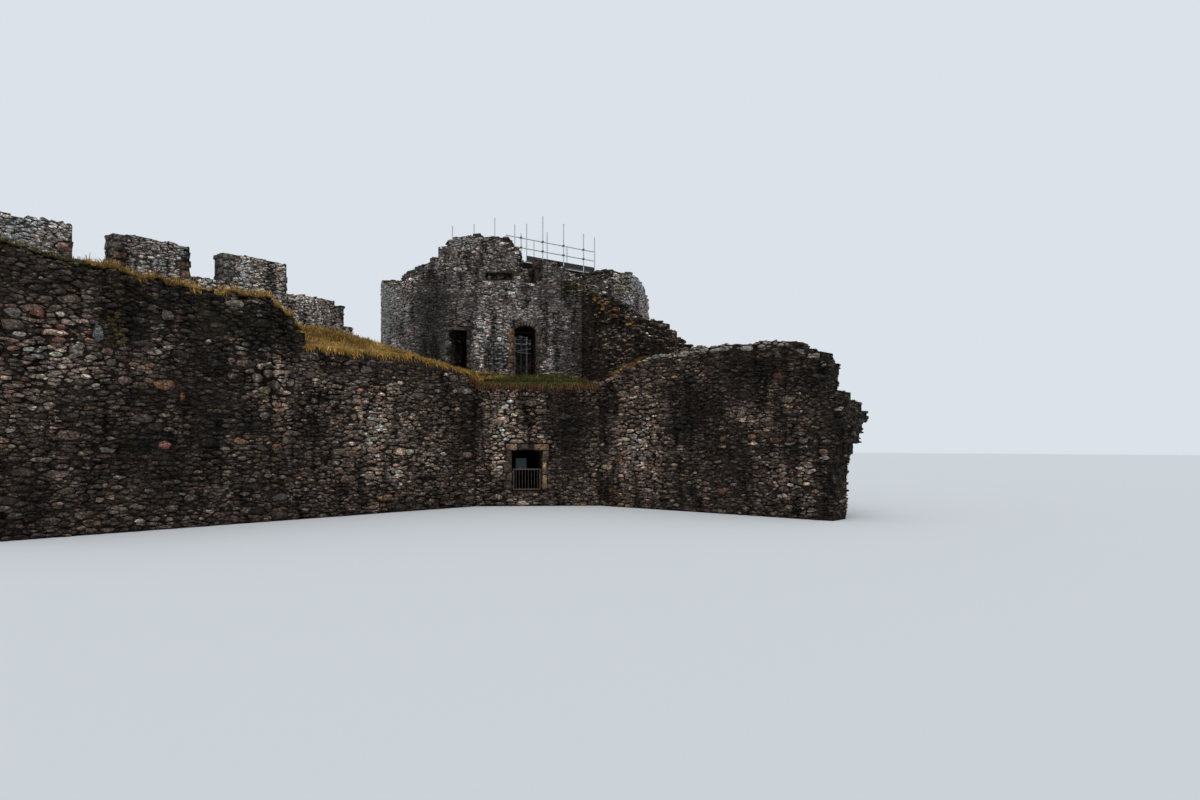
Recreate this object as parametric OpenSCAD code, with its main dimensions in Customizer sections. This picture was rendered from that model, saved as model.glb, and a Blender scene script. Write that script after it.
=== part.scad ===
// Ruined round corner keep with the two curtain walls that are bonded into it.
// Millimetres, +Z up. The origin is the axis of the keep at the lowest ground level.
// +X runs east along the north curtain and -Y runs south along the west curtain.
// The courtyard lies between them, where the doors of the keep open.

/* [Keep] */
// Outer radius of the round keep
keep_r = 6100; // [5600:50:6600]
// Thickness of the keep wall on the ground storey
keep_wall_t = 3050; // [2600:50:3300]
// Width of the ledge that carries the first-floor joists
ledge_w = 200; // [150:10:300]
// Level of the highest stretch of the broken keep head
keep_head_z = 10800; // [10100:50:11700]
// Level of the ground floor and of the doorstep
ground_floor_z = 560; // [300:10:900]
// Level of the first floor
first_floor_z = 4950; // [4600:10:5300]

/* [Curtain walls] */
// Thickness of both curtain walls
curtain_t = 2700; // [2400:50:3000]
// Distance from the keep axis to the courtyard face of the west curtain
west_face = 4240; // [4000:20:4500]
// Distance from the keep axis to the courtyard face of the north curtain
north_face = 2750; // [2500:20:3000]
// Distance from the keep axis to the broken east end of the north curtain
north_len = 17300; // [15500:100:20000]
// Thickness of the facing on the courtyard side
inner_leaf_t = 900; // [600:20:1000]
// Thickness of the outer facing, which rises as the parapet
outer_leaf_t = 600; // [450:10:700]
// Thickness of the lining of the upper keep wall
lining_t = 860; // [700:20:1000]
// Level of the wall walk on the west curtain
west_walk_z = 6600; // [6200:20:7000]
// Level of the wall head on the north curtain
north_walk_z = 5560; // [5300:20:6000]

/* [Parapet] */
// Number of merlons that still stand
merlon_count = 3; // [2:1:4]
// Distance from one merlon to the next
merlon_pitch = 3090; // [2900:5:3400]
// Length of the gap between two merlons
crenel_l = 1000; // [700:5:1200]
// Distance from the keep axis to the first standing merlon
merlon_first = 12420; // [11500:20:12800]
// Height of the crenel sill above the wall walk
crenel_sill_h = 840; // [700:10:1100]
// Height of a merlon above the crenel sill
merlon_h = 900; // [800:10:1300]

/* [Corner] */
// Distance from the keep axis to the wall that closes the courtyard corner
corner_reach = 7300; // [7000:20:7700]
// Level of the corner terrace along its front edge
corner_front_z = 4560; // [4400:10:4800]

/* [Doors] */
// Direction of the entrance and of the door above it, in degrees from +X
door_dir = -40; // [-45:1:-35]
// Width of the entrance
door_w = 1150; // [1000:10:1300]
// Level of the underside of the entrance lintel
door_head_z = 2110; // [2000:10:2300]
// Height of the entrance lintel
lintel_h = 230; // [180:10:300]
// Depth of the lintel stones into the wall
lintel_depth = 420; // [300:10:600]
// Width of the upper door
upper_door_w = 860; // [780:10:950]
// Height of the upper door to the springing of its arch
upper_spring_h = 1850; // [1700:10:2000]
// Rise of the arch over the upper door
arch_rise = 170; // [120:10:260]
// Thickness of the arch ring
arch_t = 250; // [200:10:320]
// Direction of the door from the west wall walk, in degrees from +X
walk_door_dir = -65.4; // [-68:0.2:-63]
// Width of the door from the west wall walk
walk_door_w = 790; // [700:10:850]
// Height of the door from the west wall walk
walk_door_h = 1900; // [1750:10:2050]
// Thickness of the slab over the door from the west wall walk
slab_t = 160; // [120:10:220]

/* [Gate] */
// Height of the gate leaf
gate_h = 800; // [650:10:950]
// Clear gap between the gate leaf and the wall at each side
gate_gap = 45; // [35:1:60]
// Gap under the gate leaf
gate_foot_gap = 40; // [25:1:60]
// Distance from the corner wall face in to the gate
gate_set_in = 260; // [200:10:400]
// Width of the flat bar in the gate frame
gate_bar_w = 40; // [30:1:50]
// Thickness of the flat bar in the gate frame
gate_bar_t = 12; // [10:1:16]
// Diameter of the upright bars in the gate and in the grille
round_bar_d = 16; // [12:1:20]
// Distance from one upright bar to the next
round_bar_pitch = 115; // [90:1:130]
// Diameter of the hinge pins
pin_d = 20; // [16:1:24]

/* [First floor] */
// Height of a floor joist
joist_h = 200; // [175:5:250]
// Width of a floor joist
joist_w = 100; // [75:5:125]
// Distance from one joist to the next
joist_pitch = 500; // [400:10:600]
// Thickness of the floor boards
board_t = 40; // [30:1:50]

/* [Scaffold] */
// Diameter of the scaffold tubes
tube_d = 48.3; // [42.4, 48.3, 60.3]
// Wall thickness of the scaffold tubes
tube_t = 4; // [3.2:0.1:4.8]
// Least gap between the uprights and the lining of the keep
scaffold_clear = 135; // [80:5:200]
// Level of the top of the working deck
deck_z = 10435; // [10000:5:10800]
// Thickness of the deck boards
deck_t = 38; // [32:1:50]
// Height of the toe board
toe_board_h = 220; // [150:10:240]
// Height of the guard rail above the deck
guard_h = 950; // [900:10:1100]
// Length of the deck beyond the last uprights
deck_overhang = 700; // [400:20:900]

/* [Hidden] */

// Facets of a small circle in the preview
$fn = 72;
// Facets of the round walls in the preview
wall_fn = 256;
// A cut runs past the faces that it opens by this much
over = 20;
// Gap left where two curved faces meet
seat = 0.3;
// Length of the steps in a broken wall head
stone_l = 350;
// Height of one course of facing stones
course_h = 170;
// Masonry that belongs to a passage is looked for this many degrees to each side of it
door_sweep = 40;

keep_inner_r = keep_r - keep_wall_t;
upper_inner_r = keep_inner_r + ledge_w;
ledge_z = first_floor_z - board_t - joist_h;
upper_z = ledge_z + seat;
merlon_l = merlon_pitch - crenel_l;
sill_z = west_walk_z + crenel_sill_h;
west_len = merlon_first + merlon_count * merlon_pitch - crenel_l / 2;
west_outer = west_face - curtain_t;
north_outer = north_face - curtain_t;
corner_dir = -45;
arch_r = (pow(upper_door_w / 2, 2) + pow(arch_rise, 2)) / (2 * arch_rise);
top_z = keep_head_z + 1000;
// Least thickness of the earth capping on the corner terrace
capping_t = 160;

// Broken head of the keep: direction in degrees, level below the highest stretch
keep_break = [
  [-180, -550], [-160, -300], [-140, -700], [-126, -960], [-112, -1000], [-103, -990],
  [-92, -880], [-84, -920], [-77.7, -900], [-75.6, -750], [-73.6, -590], [-70.3, -240],
  [-67.2, -120], [-63.7, -10], [-60.3, -40], [-56.2, -90], [-53, -100], [-49.9, -170],
  [-46.7, -310], [-45.2, -390], [-42.8, -680], [-40.9, -1090], [-39, -1850], [-35.5, -1880],
  [-32.5, -1110], [-30, -980], [-26.5, -1030], [-22.5, -1350], [-19, -1680], [-11, -1770],
  [-8.5, -1500], [-5.5, -1400], [-3, -1200], [0, -1100], [4, -1000], [8.3, -880],
  [13.9, -920], [19.8, -1140], [24.6, -1320], [32, -1700], [42, -1550], [50, -1100],
  [60, -850], [85, -350], [110, -600], [140, -250], [165, -700], [180, -550],
];
// How far the facing has fallen below the core behind it: direction in degrees, loss
facing_loss = [
  [-180, 250], [-120, 250], [-107, 720], [-102, 930], [-95, 900], [-88, 800], [-82, 600],
  [-77.5, 280], [-70, 250], [180, 250],
];

// Level bed of the west curtain under the earth bank: distance along the wall, level above the walk
west_bed = [
  [4000, -1750], [6300, -1750], [8100, -1560], [9400, -1480], [12000, -1380], [12900, -1400],
];
// Top of the earth bank at the parapet: distance along the wall, level above the walk
bank_line = [
  [4000, -1660], [5900, -1650], [6300, -1570], [7250, -1420], [8300, -1270], [9000, -1050],
  [9500, -850], [10100, -550], [10700, -370], [11400, -330], [12300, -450], [12900, -500],
];
// Level of the bank along the courtyard edge, above the walk, and its slope in degrees
bank_edge = -1280;
bank_slope = 25;
// Courtyard face of the west curtain beyond the bank: distance along the wall, level above the walk
west_inner_break = [
  [12900, -1250], [13050, -900], [13350, -500], [13700, -170], [14100, 0], [16000, 20],
  [18400, 190], [19100, 270], [20700, 430], [30000, 430],
];
// Rubble core of the west curtain beyond the bank: distance along the wall, level above the walk
west_core_break = [
  [12900, -550], [13400, 0], [16000, 170], [18400, 330], [30000, 560],
];
// Parapet of the west curtain: distance along the wall, level above the crenel sill
parapet_break = [
  [4000, -2040], [6200, -2040], [8100, -2290], [9100, -2090], [9800, -1490], [10160, -860],
  [10410, -450], [10530, -200], [10650, -110], [12500, -90],
];
// Courtyard face of the north curtain: distance along the wall, level above the head
north_inner_break = [
  [4000, -1000], [7500, -900], [8060, -670], [8900, -280], [9950, -100], [11700, 20],
  [13030, 80], [14430, 0], [15660, -100], [16180, -340], [16360, -470],
];
// Rubble core of the north curtain: distance along the wall, level above the head
north_core_break = [
  [4000, 2900], [6200, 2850], [6900, 2500], [7600, 2050], [8300, 1450], [9000, 850],
  [9700, 450], [10600, 120], [12000, 60], [14500, 30], [15000, -60], [15500, -220],
  [15900, -620], [16100, -900],
];
// Outer face of the north curtain: distance along the wall, level above the head
north_outer_break = [
  [4000, 3000], [5600, 3050], [6600, 2300], [7900, 1760], [8800, 1400], [9100, 1090],
  [9700, 570], [10600, 250], [12500, 60], [14200, -350], [15200, -1000], [16200, -1750],
];

// Distance back from the east end at which each broken head gives way to its broken end
inner_end_top = 950;
core_end_top = 1350;
outer_end_top = 1150;
// Broken ends of the north curtain: level, distance back from its east end
inner_end = [
  [0, 340], [900, 340], [1350, 520], [1650, 400], [2000, 330], [2400, 180], [2700, 100],
  [3400, 100], [3600, 250], [3800, 560], [4000, 690], [4400, 620], [4700, 640], [4950, 800],
];
core_end = [
  [0, 950], [1500, 950], [2300, 700], [2600, 500], [3400, 400], [3700, 700], [4000, 1200], [6000, 1300],
];
// The springer of the fallen gate arch still leans out of this end
outer_end = [
  [0, 1210], [800, 1280], [1460, 1170], [1970, 1060], [2300, 930], [2800, 660],
  [3120, 490], [3450, 560], [3720, 760], [3850, 1040],
];

// Points of a broken wall head, one level for each facing stone
function broken_top(line, from, to, level, rough, seed) =
  let (n = max(1, round((to - from) / stone_l)),
       w = (to - from) / n,
       r = rands(-rough, rough, n, seed))
  [for (i = [0 : n - 1], s = [0, 1])
    [from + (i + s) * w, level + lookup(from + (i + 0.5) * w, line) + r[i]]];

// Points of a broken wall end from its top down, one tooth for each two courses
function broken_end(line, end, top, rough, seed) =
  let (n = max(1, round(top / (2 * course_h))),
       h = top / n,
       r = rands(-rough, rough, n, seed))
  [for (i = [0 : n - 1], s = [0, 1])
    [end - lookup(top - (i + 0.5) * h, line) + r[i], top - (i + s) * h]];

// Extrudes an outline of (distance east, level) across the north curtain
module north_wall(front, thickness) {
  translate([0, -front + thickness, 0])
    rotate([90, 0, 0])
      linear_extrude(thickness) children();
}

// Extrudes an outline of (distance south, level) across the west curtain
module west_wall(front, thickness) {
  translate([front, 0, 0])
    rotate([90, 0, -90])
      linear_extrude(thickness) children();
}

// The space that the keep takes up, which the curtain walls are built against
module keep_envelope() {
  translate([0, 0, -over]) cylinder(r = keep_r + seat, h = top_z + 2 * over, $fn = wall_fn);
}

// Distance along a curtain wall at which it meets the keep, for the leaf edge farthest from its axis
function meets_keep(offset) = sqrt(pow(keep_r, 2) - pow(offset, 2)) + 3;

// A stretch of a round wall between two directions, with a hairline joint at its far end
module ring_stretch(inner, outer, from, to, low, high) {
  joint = 2 * atan(seat / keep_r);
  translate([0, 0, low])
    rotate([0, 0, from])
      rotate_extrude(angle = to - from - joint, $fn = wall_fn)
        translate([inner, 0]) square([outer - inner, high - low]);
}

// A passage of one width from the keep axis outwards
module passage(dir, width, low, high) {
  rotate([0, 0, dir])
    translate([0, -width / 2, low])
      cube([keep_r + curtain_t, width, high - low]);
}

// Everything over a broken line across one stretch of the keep wall
module over_break(from, to, loss, rough, length, seed) {
  mid = (from + to) / 2;
  half = (to - from) / 2;
  reach = keep_r * sin(min(half, 89)) + over;
  // An odd number, so that no step of one band lies over a step of the next at the middle
  n = 2 * round(reach / length) + 1;
  w = 2 * reach / n;
  r = rands(-rough, rough, n, seed);
  tops = [for (i = [0 : n - 1], s = [0, 1])
    let (t = -reach + (i + 0.5) * w,
         dir = mid + asin(max(-1, min(1, t / keep_r))),
         turn = dir > 180 ? dir - 360 : dir)
    [-reach + (i + s) * w, keep_head_z + lookup(turn, keep_break) - lookup(turn, loss) + r[i]]];
  rotate([0, 0, mid])
    rotate([90, 0, 90])
      linear_extrude(keep_r + over)
        polygon(concat([[-reach, top_z + over]], tops, [[reach, top_z + over]]));
}

// One stretch of the upper keep wall: a facing, a core and a lining of their own heights
module upper_stretch(from, to, seed) {
  core_r = upper_inner_r + lining_t;
  facing_r = keep_r - inner_leaf_t;
  difference() {
    ring_stretch(facing_r, keep_r, from, to, upper_z, top_z);
    over_break(from, to, facing_loss, course_h / 4, stone_l, seed);
  }
  difference() {
    ring_stretch(core_r, facing_r, from, to, upper_z, top_z);
    over_break(from, to, [[0, 0]], course_h / 4, 1.37 * stone_l, seed + 1);
  }
  difference() {
    ring_stretch(upper_inner_r, core_r, from, to, upper_z, top_z);
    over_break(from, to, facing_loss, course_h / 4, 0.83 * stone_l, seed + 2);
  }
}

module walk_door_passage() {
  passage(walk_door_dir, walk_door_w, first_floor_z, top_z + over);
}

// Masonry of the keep above one passage, as wide as the passage
module over_passage(dir, width, low, seed) {
  half = asin(width / 2 / upper_inner_r) + 3;
  intersection() {
    upper_stretch(dir - half, dir + half, seed);
    passage(dir, width, low, top_z);
  }
}

module lower_stretch(from, to) {
  color("dimgray") ring_stretch(keep_inner_r, keep_r, from, to, 0, ledge_z);
}

module ground_floor() {
  color("darkolivegreen") cylinder(r = keep_inner_r - seat, h = ground_floor_z, $fn = wall_fn);
}

// Shape of the courtyard corner in plan, in front of the keep
module corner_plan() {
  far = corner_reach * sqrt(2);
  difference() {
    polygon([
      [west_face, -north_face], [west_face, west_face - far], [far - north_face, -north_face],
    ]);
    circle(r = keep_r + seat, $fn = wall_fn);
  }
}

module corner_mass(low, high) {
  translate([0, 0, low]) linear_extrude(high - low) corner_plan();
}

module door_side(side, low, high) {
  rotate([0, 0, door_dir])
    translate([0, side > 0 ? door_w / 2 : -door_w / 2 - 2 * keep_r, low])
      cube([2 * keep_r, 2 * keep_r, high - low]);
}

module entrance_step() {
  color("dimgray") intersection() {
    union() {
      corner_mass(0, ground_floor_z);
      ring_stretch(keep_inner_r, keep_r + 1, door_dir - door_sweep, door_dir + door_sweep, 0, ground_floor_z);
    }
    passage(door_dir, door_w, 0, ground_floor_z);
  }
}

module lower_wall_east() {
  difference() {
    lower_stretch(door_dir, door_dir + 60);
    passage(door_dir, door_w, -over, ledge_z + over);
  }
}

module lower_wall_south() {
  difference() {
    lower_stretch(door_dir - 60, door_dir);
    passage(door_dir, door_w, -over, ledge_z + over);
  }
}

module lower_wall_over_door() {
  intersection() {
    lower_stretch(door_dir - door_sweep, door_dir + door_sweep);
    passage(door_dir, door_w, door_head_z, ledge_z);
  }
}

module upper_wall_east() {
  color("gray") difference() {
    upper_stretch(door_dir, door_dir + 60, 110);
    passage(door_dir, upper_door_w, first_floor_z, top_z + over);
    arch_space();
  }
}

module upper_wall_pier() {
  color("gray") difference() {
    upper_stretch(walk_door_dir, door_dir, 150);
    passage(door_dir, upper_door_w, first_floor_z, top_z + over);
    walk_door_passage();
    arch_space();
    slab_space();
    wall_slot();
  }
}

module upper_wall_southwest() {
  color("gray") difference() {
    upper_stretch(door_dir - 120, walk_door_dir, 140);
    walk_door_passage();
    slab_space();
  }
}

// Long low recess high in the wall beside the upper door: depth, length, height
slot_size = [300, 1060, 290];
slot_dir = -49.6;
slot_z = keep_head_z - 2040;

module wall_slot() {
  rotate([0, 0, slot_dir])
    translate([keep_r - slot_size[0], -slot_size[1] / 2, slot_z])
      cube(slot_size + [2 * over, 0, 0]);
}

// The space of the arch ring over the upper door, from its back to its springing
module arch_space() {
  rotate([0, 0, door_dir])
    rotate([90, 0, 90])
      linear_extrude(keep_r + over) arch_outline(seat);
}

// Face of the arch ring: two arcs about one centre below the springing
module arch_outline(gap) {
  spring = first_floor_z + upper_spring_h;
  centre = spring + arch_rise - arch_r;
  half = asin(upper_door_w / 2 / arch_r);
  reach = 2 * (arch_r + arch_t);
  translate([0, centre]) difference() {
    intersection() {
      circle(r = arch_r + arch_t + gap, $fn = wall_fn);
      polygon([[0, 0], [reach * sin(half), reach * cos(half)], [-reach * sin(half), reach * cos(half)]]);
    }
    if (gap == 0) circle(r = arch_r, $fn = wall_fn);
  }
}

module upper_door_arch() {
  color("tan") intersection() {
    rotate([0, 0, door_dir]) rotate([90, 0, 90]) linear_extrude(keep_r + over) arch_outline(0);
    ring_stretch(upper_inner_r, keep_r, door_dir - door_sweep, door_dir + door_sweep, upper_z, top_z);
  }
}

module upper_wall_over_door() {
  color("gray") difference() {
    over_passage(door_dir, upper_door_w, first_floor_z + upper_spring_h + arch_rise, 160);
    arch_space();
  }
}

// Bed of the slab over the walk door, with a bearing on each side
module slab_space() {
  bearing = 150;
  rotate([0, 0, walk_door_dir])
    translate([0, -walk_door_w / 2 - bearing, first_floor_z + walk_door_h])
      cube([keep_r + over, walk_door_w + 2 * bearing, slab_t]);
}

module walk_door_slab() {
  color("silver") intersection() {
    slab_space();
    ring_stretch(upper_inner_r, keep_r, walk_door_dir - door_sweep, walk_door_dir + door_sweep,
                 upper_z, top_z);
  }
}

module upper_wall_over_walk_door() {
  color("gray") over_passage(walk_door_dir, walk_door_w, first_floor_z + walk_door_h + slab_t, 175);
}

// Gap left between the first floor and the lining round it
floor_gap = 10;

module first_floor_joists() {
  count = floor((upper_inner_r - joist_w) / joist_pitch);
  color("saddlebrown") intersection() {
    for (i = [-count : count])
      translate([-upper_inner_r, i * joist_pitch - joist_w / 2, upper_z])
        cube([2 * upper_inner_r, joist_w, joist_h - 2 * seat]);
    cylinder(r = upper_inner_r - floor_gap, h = top_z, $fn = wall_fn);
  }
}

module first_floor_boards() {
  color("peru") translate([0, 0, first_floor_z - board_t])
    cylinder(r = upper_inner_r - floor_gap, h = board_t, $fn = wall_fn);
}

// Corner masonry on one side of the entrance, notched for the end of the lintel
module corner_side(side) {
  color("dimgray") difference() {
    intersection() {
      corner_mass(0, corner_front_z - capping_t);
      door_side(side, 0, top_z);
    }
    lintel_row(seat);
  }
}

// Beds of the three lintel stones: place along the wall face, length
lintel_stones = [[-790, 430], [-356, 560], [208, 620]];
// The lintel stones stand out from the face of the wall by this much
lintel_proud = 15;

module lintel_row(gap) {
  rotate([0, 0, corner_dir])
    translate([corner_reach - lintel_depth, corner_reach * tan(door_dir - corner_dir), door_head_z])
      for (s = lintel_stones)
        translate([0, s[0] - gap, 0]) cube([lintel_depth + lintel_proud, s[1] + 2 * gap, lintel_h]);
}

module entrance_lintel() {
  color("rosybrown") lintel_row(0);
}

module corner_wall_over_door() {
  color("dimgray") difference() {
    intersection() {
      corner_mass(door_head_z, corner_front_z - capping_t);
      passage(door_dir, door_w, 0, top_z);
    }
    lintel_row(seat);
  }
}

// Terrace in front of the upper doors, falling gently from the keep to the courtyard
module corner_terrace() {
  fall = first_floor_z - corner_front_z;
  run = corner_reach - keep_r;
  color("olive") difference() {
    corner_mass(corner_front_z - capping_t, first_floor_z);
    rotate([0, 0, corner_dir])
      translate([keep_r, -2 * keep_r, first_floor_z])
        rotate([0, atan(fall / run), 0])
          translate([-run, 0, 0]) cube([4 * run, 4 * keep_r, 2 * fall]);
  }
}

// Points of a line of (distance, level above base) from one distance on, raised by a gap
function line_from(line, start, base, gap = 0) =
  concat([[start, base + lookup(start, line) + gap]],
         [for (p = line) if (p[0] > start) [p[0], base + p[1] + gap]]);

// Outline of one leaf of the west curtain: smooth under the bank, broken beyond it
module west_leaf_outline(line, start, seed) {
  bank_end = west_bed[len(west_bed) - 1][0];
  polygon(concat(
    [[start, 0]],
    line_from(west_bed, start, west_walk_z),
    broken_top(line, bank_end, west_len, west_walk_z, course_h / 2, seed),
    [[west_len, 0]]));
}

module west_inner_leaf() {
  color("dimgray") difference() {
    west_wall(west_face, inner_leaf_t)
      west_leaf_outline(west_inner_break, meets_keep(west_face), 21);
    keep_envelope();
  }
}

module west_core() {
  front = west_face - inner_leaf_t;
  color("darkkhaki") difference() {
    west_wall(front, curtain_t - inner_leaf_t - outer_leaf_t)
      west_leaf_outline(west_core_break, meets_keep(front), 22);
    keep_envelope();
  }
}

// Earth bank on the west wall walk, falling from the parapet to the courtyard edge
module west_bank() {
  start = bank_line[0][0];
  top = line_from(bank_line, start, west_walk_z);
  foot = line_from(west_bed, start, west_walk_z, seat);
  width = curtain_t - outer_leaf_t - 2 * seat;
  color("olive") difference() {
    west_wall(west_face - seat, width)
      intersection() {
        polygon(concat(top, [for (i = [len(foot) - 1 : -1 : 0]) foot[i]]));
        translate([start, 0]) square([foot[len(foot) - 1][0] - seat - start, top_z]);
      }
    translate([west_face, -west_len, west_walk_z + bank_edge])
      rotate([0, bank_slope, 0])
        translate([-2 * curtain_t, 0, 0]) cube([3 * curtain_t, west_len, curtain_t]);
    keep_envelope();
  }
}

module west_parapet() {
  start = meets_keep(west_outer + outer_leaf_t);
  color("gray") difference() {
    west_wall(west_outer + outer_leaf_t, outer_leaf_t)
      polygon(concat([[start, 0]],
        broken_top(parapet_break, start, merlon_first, sill_z, course_h / 4, 23),
        [[merlon_first, sill_z], [west_len, sill_z], [west_len, 0]]));
    keep_envelope();
  }
}

module merlons() {
  color("gray") west_wall(west_outer + outer_leaf_t, outer_leaf_t)
    for (i = [0 : merlon_count - 1])
      translate([merlon_first + i * merlon_pitch, sill_z])
        polygon(concat([[0, 0]],
          broken_top([[0, 0], [merlon_l, 0]], 0, merlon_l, merlon_h, course_h / 4, 31 + i),
          [[merlon_l, 0]]));
}

module north_inner_leaf() {
  start = meets_keep(north_face);
  top = broken_top(north_inner_break, start, north_len - inner_end_top, north_walk_z, course_h / 2, 24);
  last = top[len(top) - 1][1];
  color("dimgray") difference() {
    north_wall(north_face, inner_leaf_t)
      polygon(concat([[start, 0]], top, broken_end(inner_end, north_len, last, course_h / 4, 27)));
    keep_envelope();
  }
}

module north_core() {
  start = meets_keep(north_face - inner_leaf_t);
  top = broken_top(north_core_break, start, north_len - core_end_top, north_walk_z, course_h / 2, 25);
  last = top[len(top) - 1][1];
  color("darkkhaki") difference() {
    north_wall(north_face - inner_leaf_t, curtain_t - inner_leaf_t - outer_leaf_t)
      polygon(concat([[start, 0]], top, broken_end(core_end, north_len, last, course_h / 2, 28)));
    keep_envelope();
  }
}

module north_outer_leaf() {
  start = meets_keep(north_outer + outer_leaf_t);
  top = broken_top(north_outer_break, start, north_len - outer_end_top, north_walk_z, course_h / 2, 26);
  last = top[len(top) - 1][1];
  color("gray") difference() {
    north_wall(north_outer + outer_leaf_t, outer_leaf_t)
      polygon(concat([[start, 0]], top, broken_end(outer_end, north_len, last, course_h / 4, 29)));
    keep_envelope();
  }
}

// Fixed iron grille in the upper door: a flat frame, rails and round uprights
module upper_grille() {
  set_in = 350;
  head_gap = 20;
  rails = [0, 0.27, 0.72, 1];
  w = upper_door_w - 2 * seat;
  h = upper_spring_h - head_gap;
  bars = floor((w - 2 * gate_bar_w) / round_bar_pitch);
  color("black") rotate([0, 0, door_dir])
    translate([keep_r - set_in, 0, first_floor_z]) {
      difference() {
        translate([0, -w / 2, 0]) cube([gate_bar_t, w, h]);
        for (i = [0 : len(rails) - 2]) {
          low = max(gate_bar_w, rails[i] * h);
          translate([-over, -w / 2 + gate_bar_w, low])
            cube([gate_bar_t + 2 * over, w - 2 * gate_bar_w, rails[i + 1] * h - low - gate_bar_w]);
        }
      }
      for (i = [0 : bars - 1])
        translate([gate_bar_t / 2, (i - (bars - 1) / 2) * round_bar_pitch, gate_bar_w / 2])
          cylinder(d = round_bar_d, h = h - gate_bar_w);
    }
}

gate_x = corner_reach / cos(corner_dir - door_dir) - gate_set_in;
gate_w = door_w - 2 * gate_gap;
hinge_y = -door_w / 2 + gate_gap;
gate_z = ground_floor_z + gate_foot_gap;
// Height and wall of the eye that turns on a hinge pin, and the gap round the pin
eye_h = 60;
eye_t = 8;
eye_gap = 0.5;
// Height of the arm that carries a hinge pin
arm_h = 40;

// Places a child in the doorway: X outwards, Y across, Z up from the foot of the gate
module in_doorway() {
  rotate([0, 0, door_dir]) translate([gate_x, 0, gate_z]) children();
}

hinge_levels = [0.15 * gate_h, 0.85 * gate_h];

module gate_pintles() {
  color("black") in_doorway()
    for (z = hinge_levels)
      translate([0, hinge_y, z - eye_h]) {
        cylinder(d = pin_d, h = 2 * eye_h - 10);
        translate([-pin_d / 2, -gate_gap, 0]) cube([pin_d, gate_gap, arm_h]);
      }
}

module gate_frame() {
  color("black") in_doorway() {
    difference() {
      translate([-gate_bar_t / 2, hinge_y + pin_d, 0]) cube([gate_bar_t, gate_w - pin_d, gate_h]);
      translate([-over, hinge_y + pin_d + gate_bar_w, gate_bar_w])
        cube([2 * over, gate_w - pin_d - 2 * gate_bar_w, gate_h - 2 * gate_bar_w]);
    }
    for (z = hinge_levels)
      translate([0, hinge_y, z - eye_h + arm_h + seat])
        difference() {
          union() {
            cylinder(d = pin_d + 2 * eye_t, h = eye_h);
            translate([-gate_bar_t / 2, 0, 0]) cube([gate_bar_t, pin_d + 2, eye_h]);
          }
          translate([0, 0, -over]) cylinder(d = pin_d + 2 * eye_gap, h = eye_h + 2 * over);
        }
  }
}

module gate_bars() {
  clear = gate_w - pin_d - 2 * gate_bar_w;
  count = floor(clear / round_bar_pitch);
  color("black") in_doorway()
    for (i = [0 : count - 1])
      translate([0, hinge_y + pin_d + gate_bar_w + clear / 2 + (i - (count - 1) / 2) * round_bar_pitch,
                 gate_bar_w])
        cylinder(d = round_bar_d, h = gate_h - 2 * gate_bar_w);
}

// Blank plate that stands on the top bar of the gate
module notice_plate() {
  plate = [4, 400, 400];
  color("lightsteelblue") in_doorway()
    translate([-plate[0] / 2, hinge_y + 120, gate_h]) cube(plate);
}

// The scaffold stands on the first floor, turned a little against the curtain walls
scaffold_turn = -10;
scaffold_rows = [for (share = [-0.615, 0.246, 0.646]) share * upper_inner_r];
// The first two uprights of the middle row end this far under the deck
under_deck = 60;
// Tops of the uprights in each row, from south to north
upright_tops = [
  [12570, 12850, 13370, 13240, 12600],
  [deck_z - deck_t - under_deck, deck_z - deck_t - under_deck, 12470, 12280, 11750],
  [11000, 11580, 12530, 12380, 12130],
];
bays = len(upright_tops[0]) - 1;
upright_reach = upper_inner_r - scaffold_clear;
bay_l = 2 * sqrt(pow(upright_reach, 2) - pow(scaffold_rows[2], 2)) / bays;
// The long tubes run past the last uprights by this much
tube_over = 90;
rail_from = bay_y(0) + 0.35 * bay_l;
plate_t = 6;
plate_w = 150;
standards_z = first_floor_z + plate_t;
lift_levels = [6900, 8700, deck_z - deck_t - 1.5 * tube_d - 2 * seat];

function bay_y(i) = (i - bays / 2) * bay_l;

module on_first_floor() {
  rotate([0, 0, scaffold_turn]) children();
}

module tube(length) {
  difference() {
    cylinder(d = tube_d, h = length);
    translate([0, 0, -over]) cylinder(d = tube_d - 2 * tube_t, h = length + 2 * over);
  }
}

module scaffold_base_plates() {
  color("silver") on_first_floor()
    for (r = [0 : len(scaffold_rows) - 1], i = [0 : bays])
      translate([scaffold_rows[r] - plate_w / 2, bay_y(i) - plate_w / 2, first_floor_z])
        cube([plate_w, plate_w, plate_t]);
}

module scaffold_standards() {
  color("silver") on_first_floor()
    for (r = [0 : len(scaffold_rows) - 1], i = [0 : bays])
      translate([scaffold_rows[r], bay_y(i), standards_z]) tube(upright_tops[r][i] - standards_z);
}

module scaffold_ledgers() {
  color("silver") on_first_floor()
    for (r = [0 : len(scaffold_rows) - 1], l = [0 : len(lift_levels) - 1]) {
      past = l == len(lift_levels) - 1 ? deck_overhang : tube_over;
      translate([scaffold_rows[r] + tube_d + seat, bay_y(0) - tube_over, lift_levels[l]])
        rotate([-90, 0, 0]) tube(bays * bay_l + tube_over + past);
    }
}

module scaffold_transoms() {
  span = scaffold_rows[2] - scaffold_rows[0];
  color("silver") on_first_floor()
    for (i = [0 : bays], z = lift_levels)
      translate([scaffold_rows[0] - tube_over, bay_y(i) + tube_d + seat, z + tube_d + seat])
        rotate([0, 90, 0]) tube(span + 2 * tube_over);
}

deck_from = bay_y(1) + 0.3 * bay_l;
deck_to = bay_y(bays) + deck_overhang;

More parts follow.
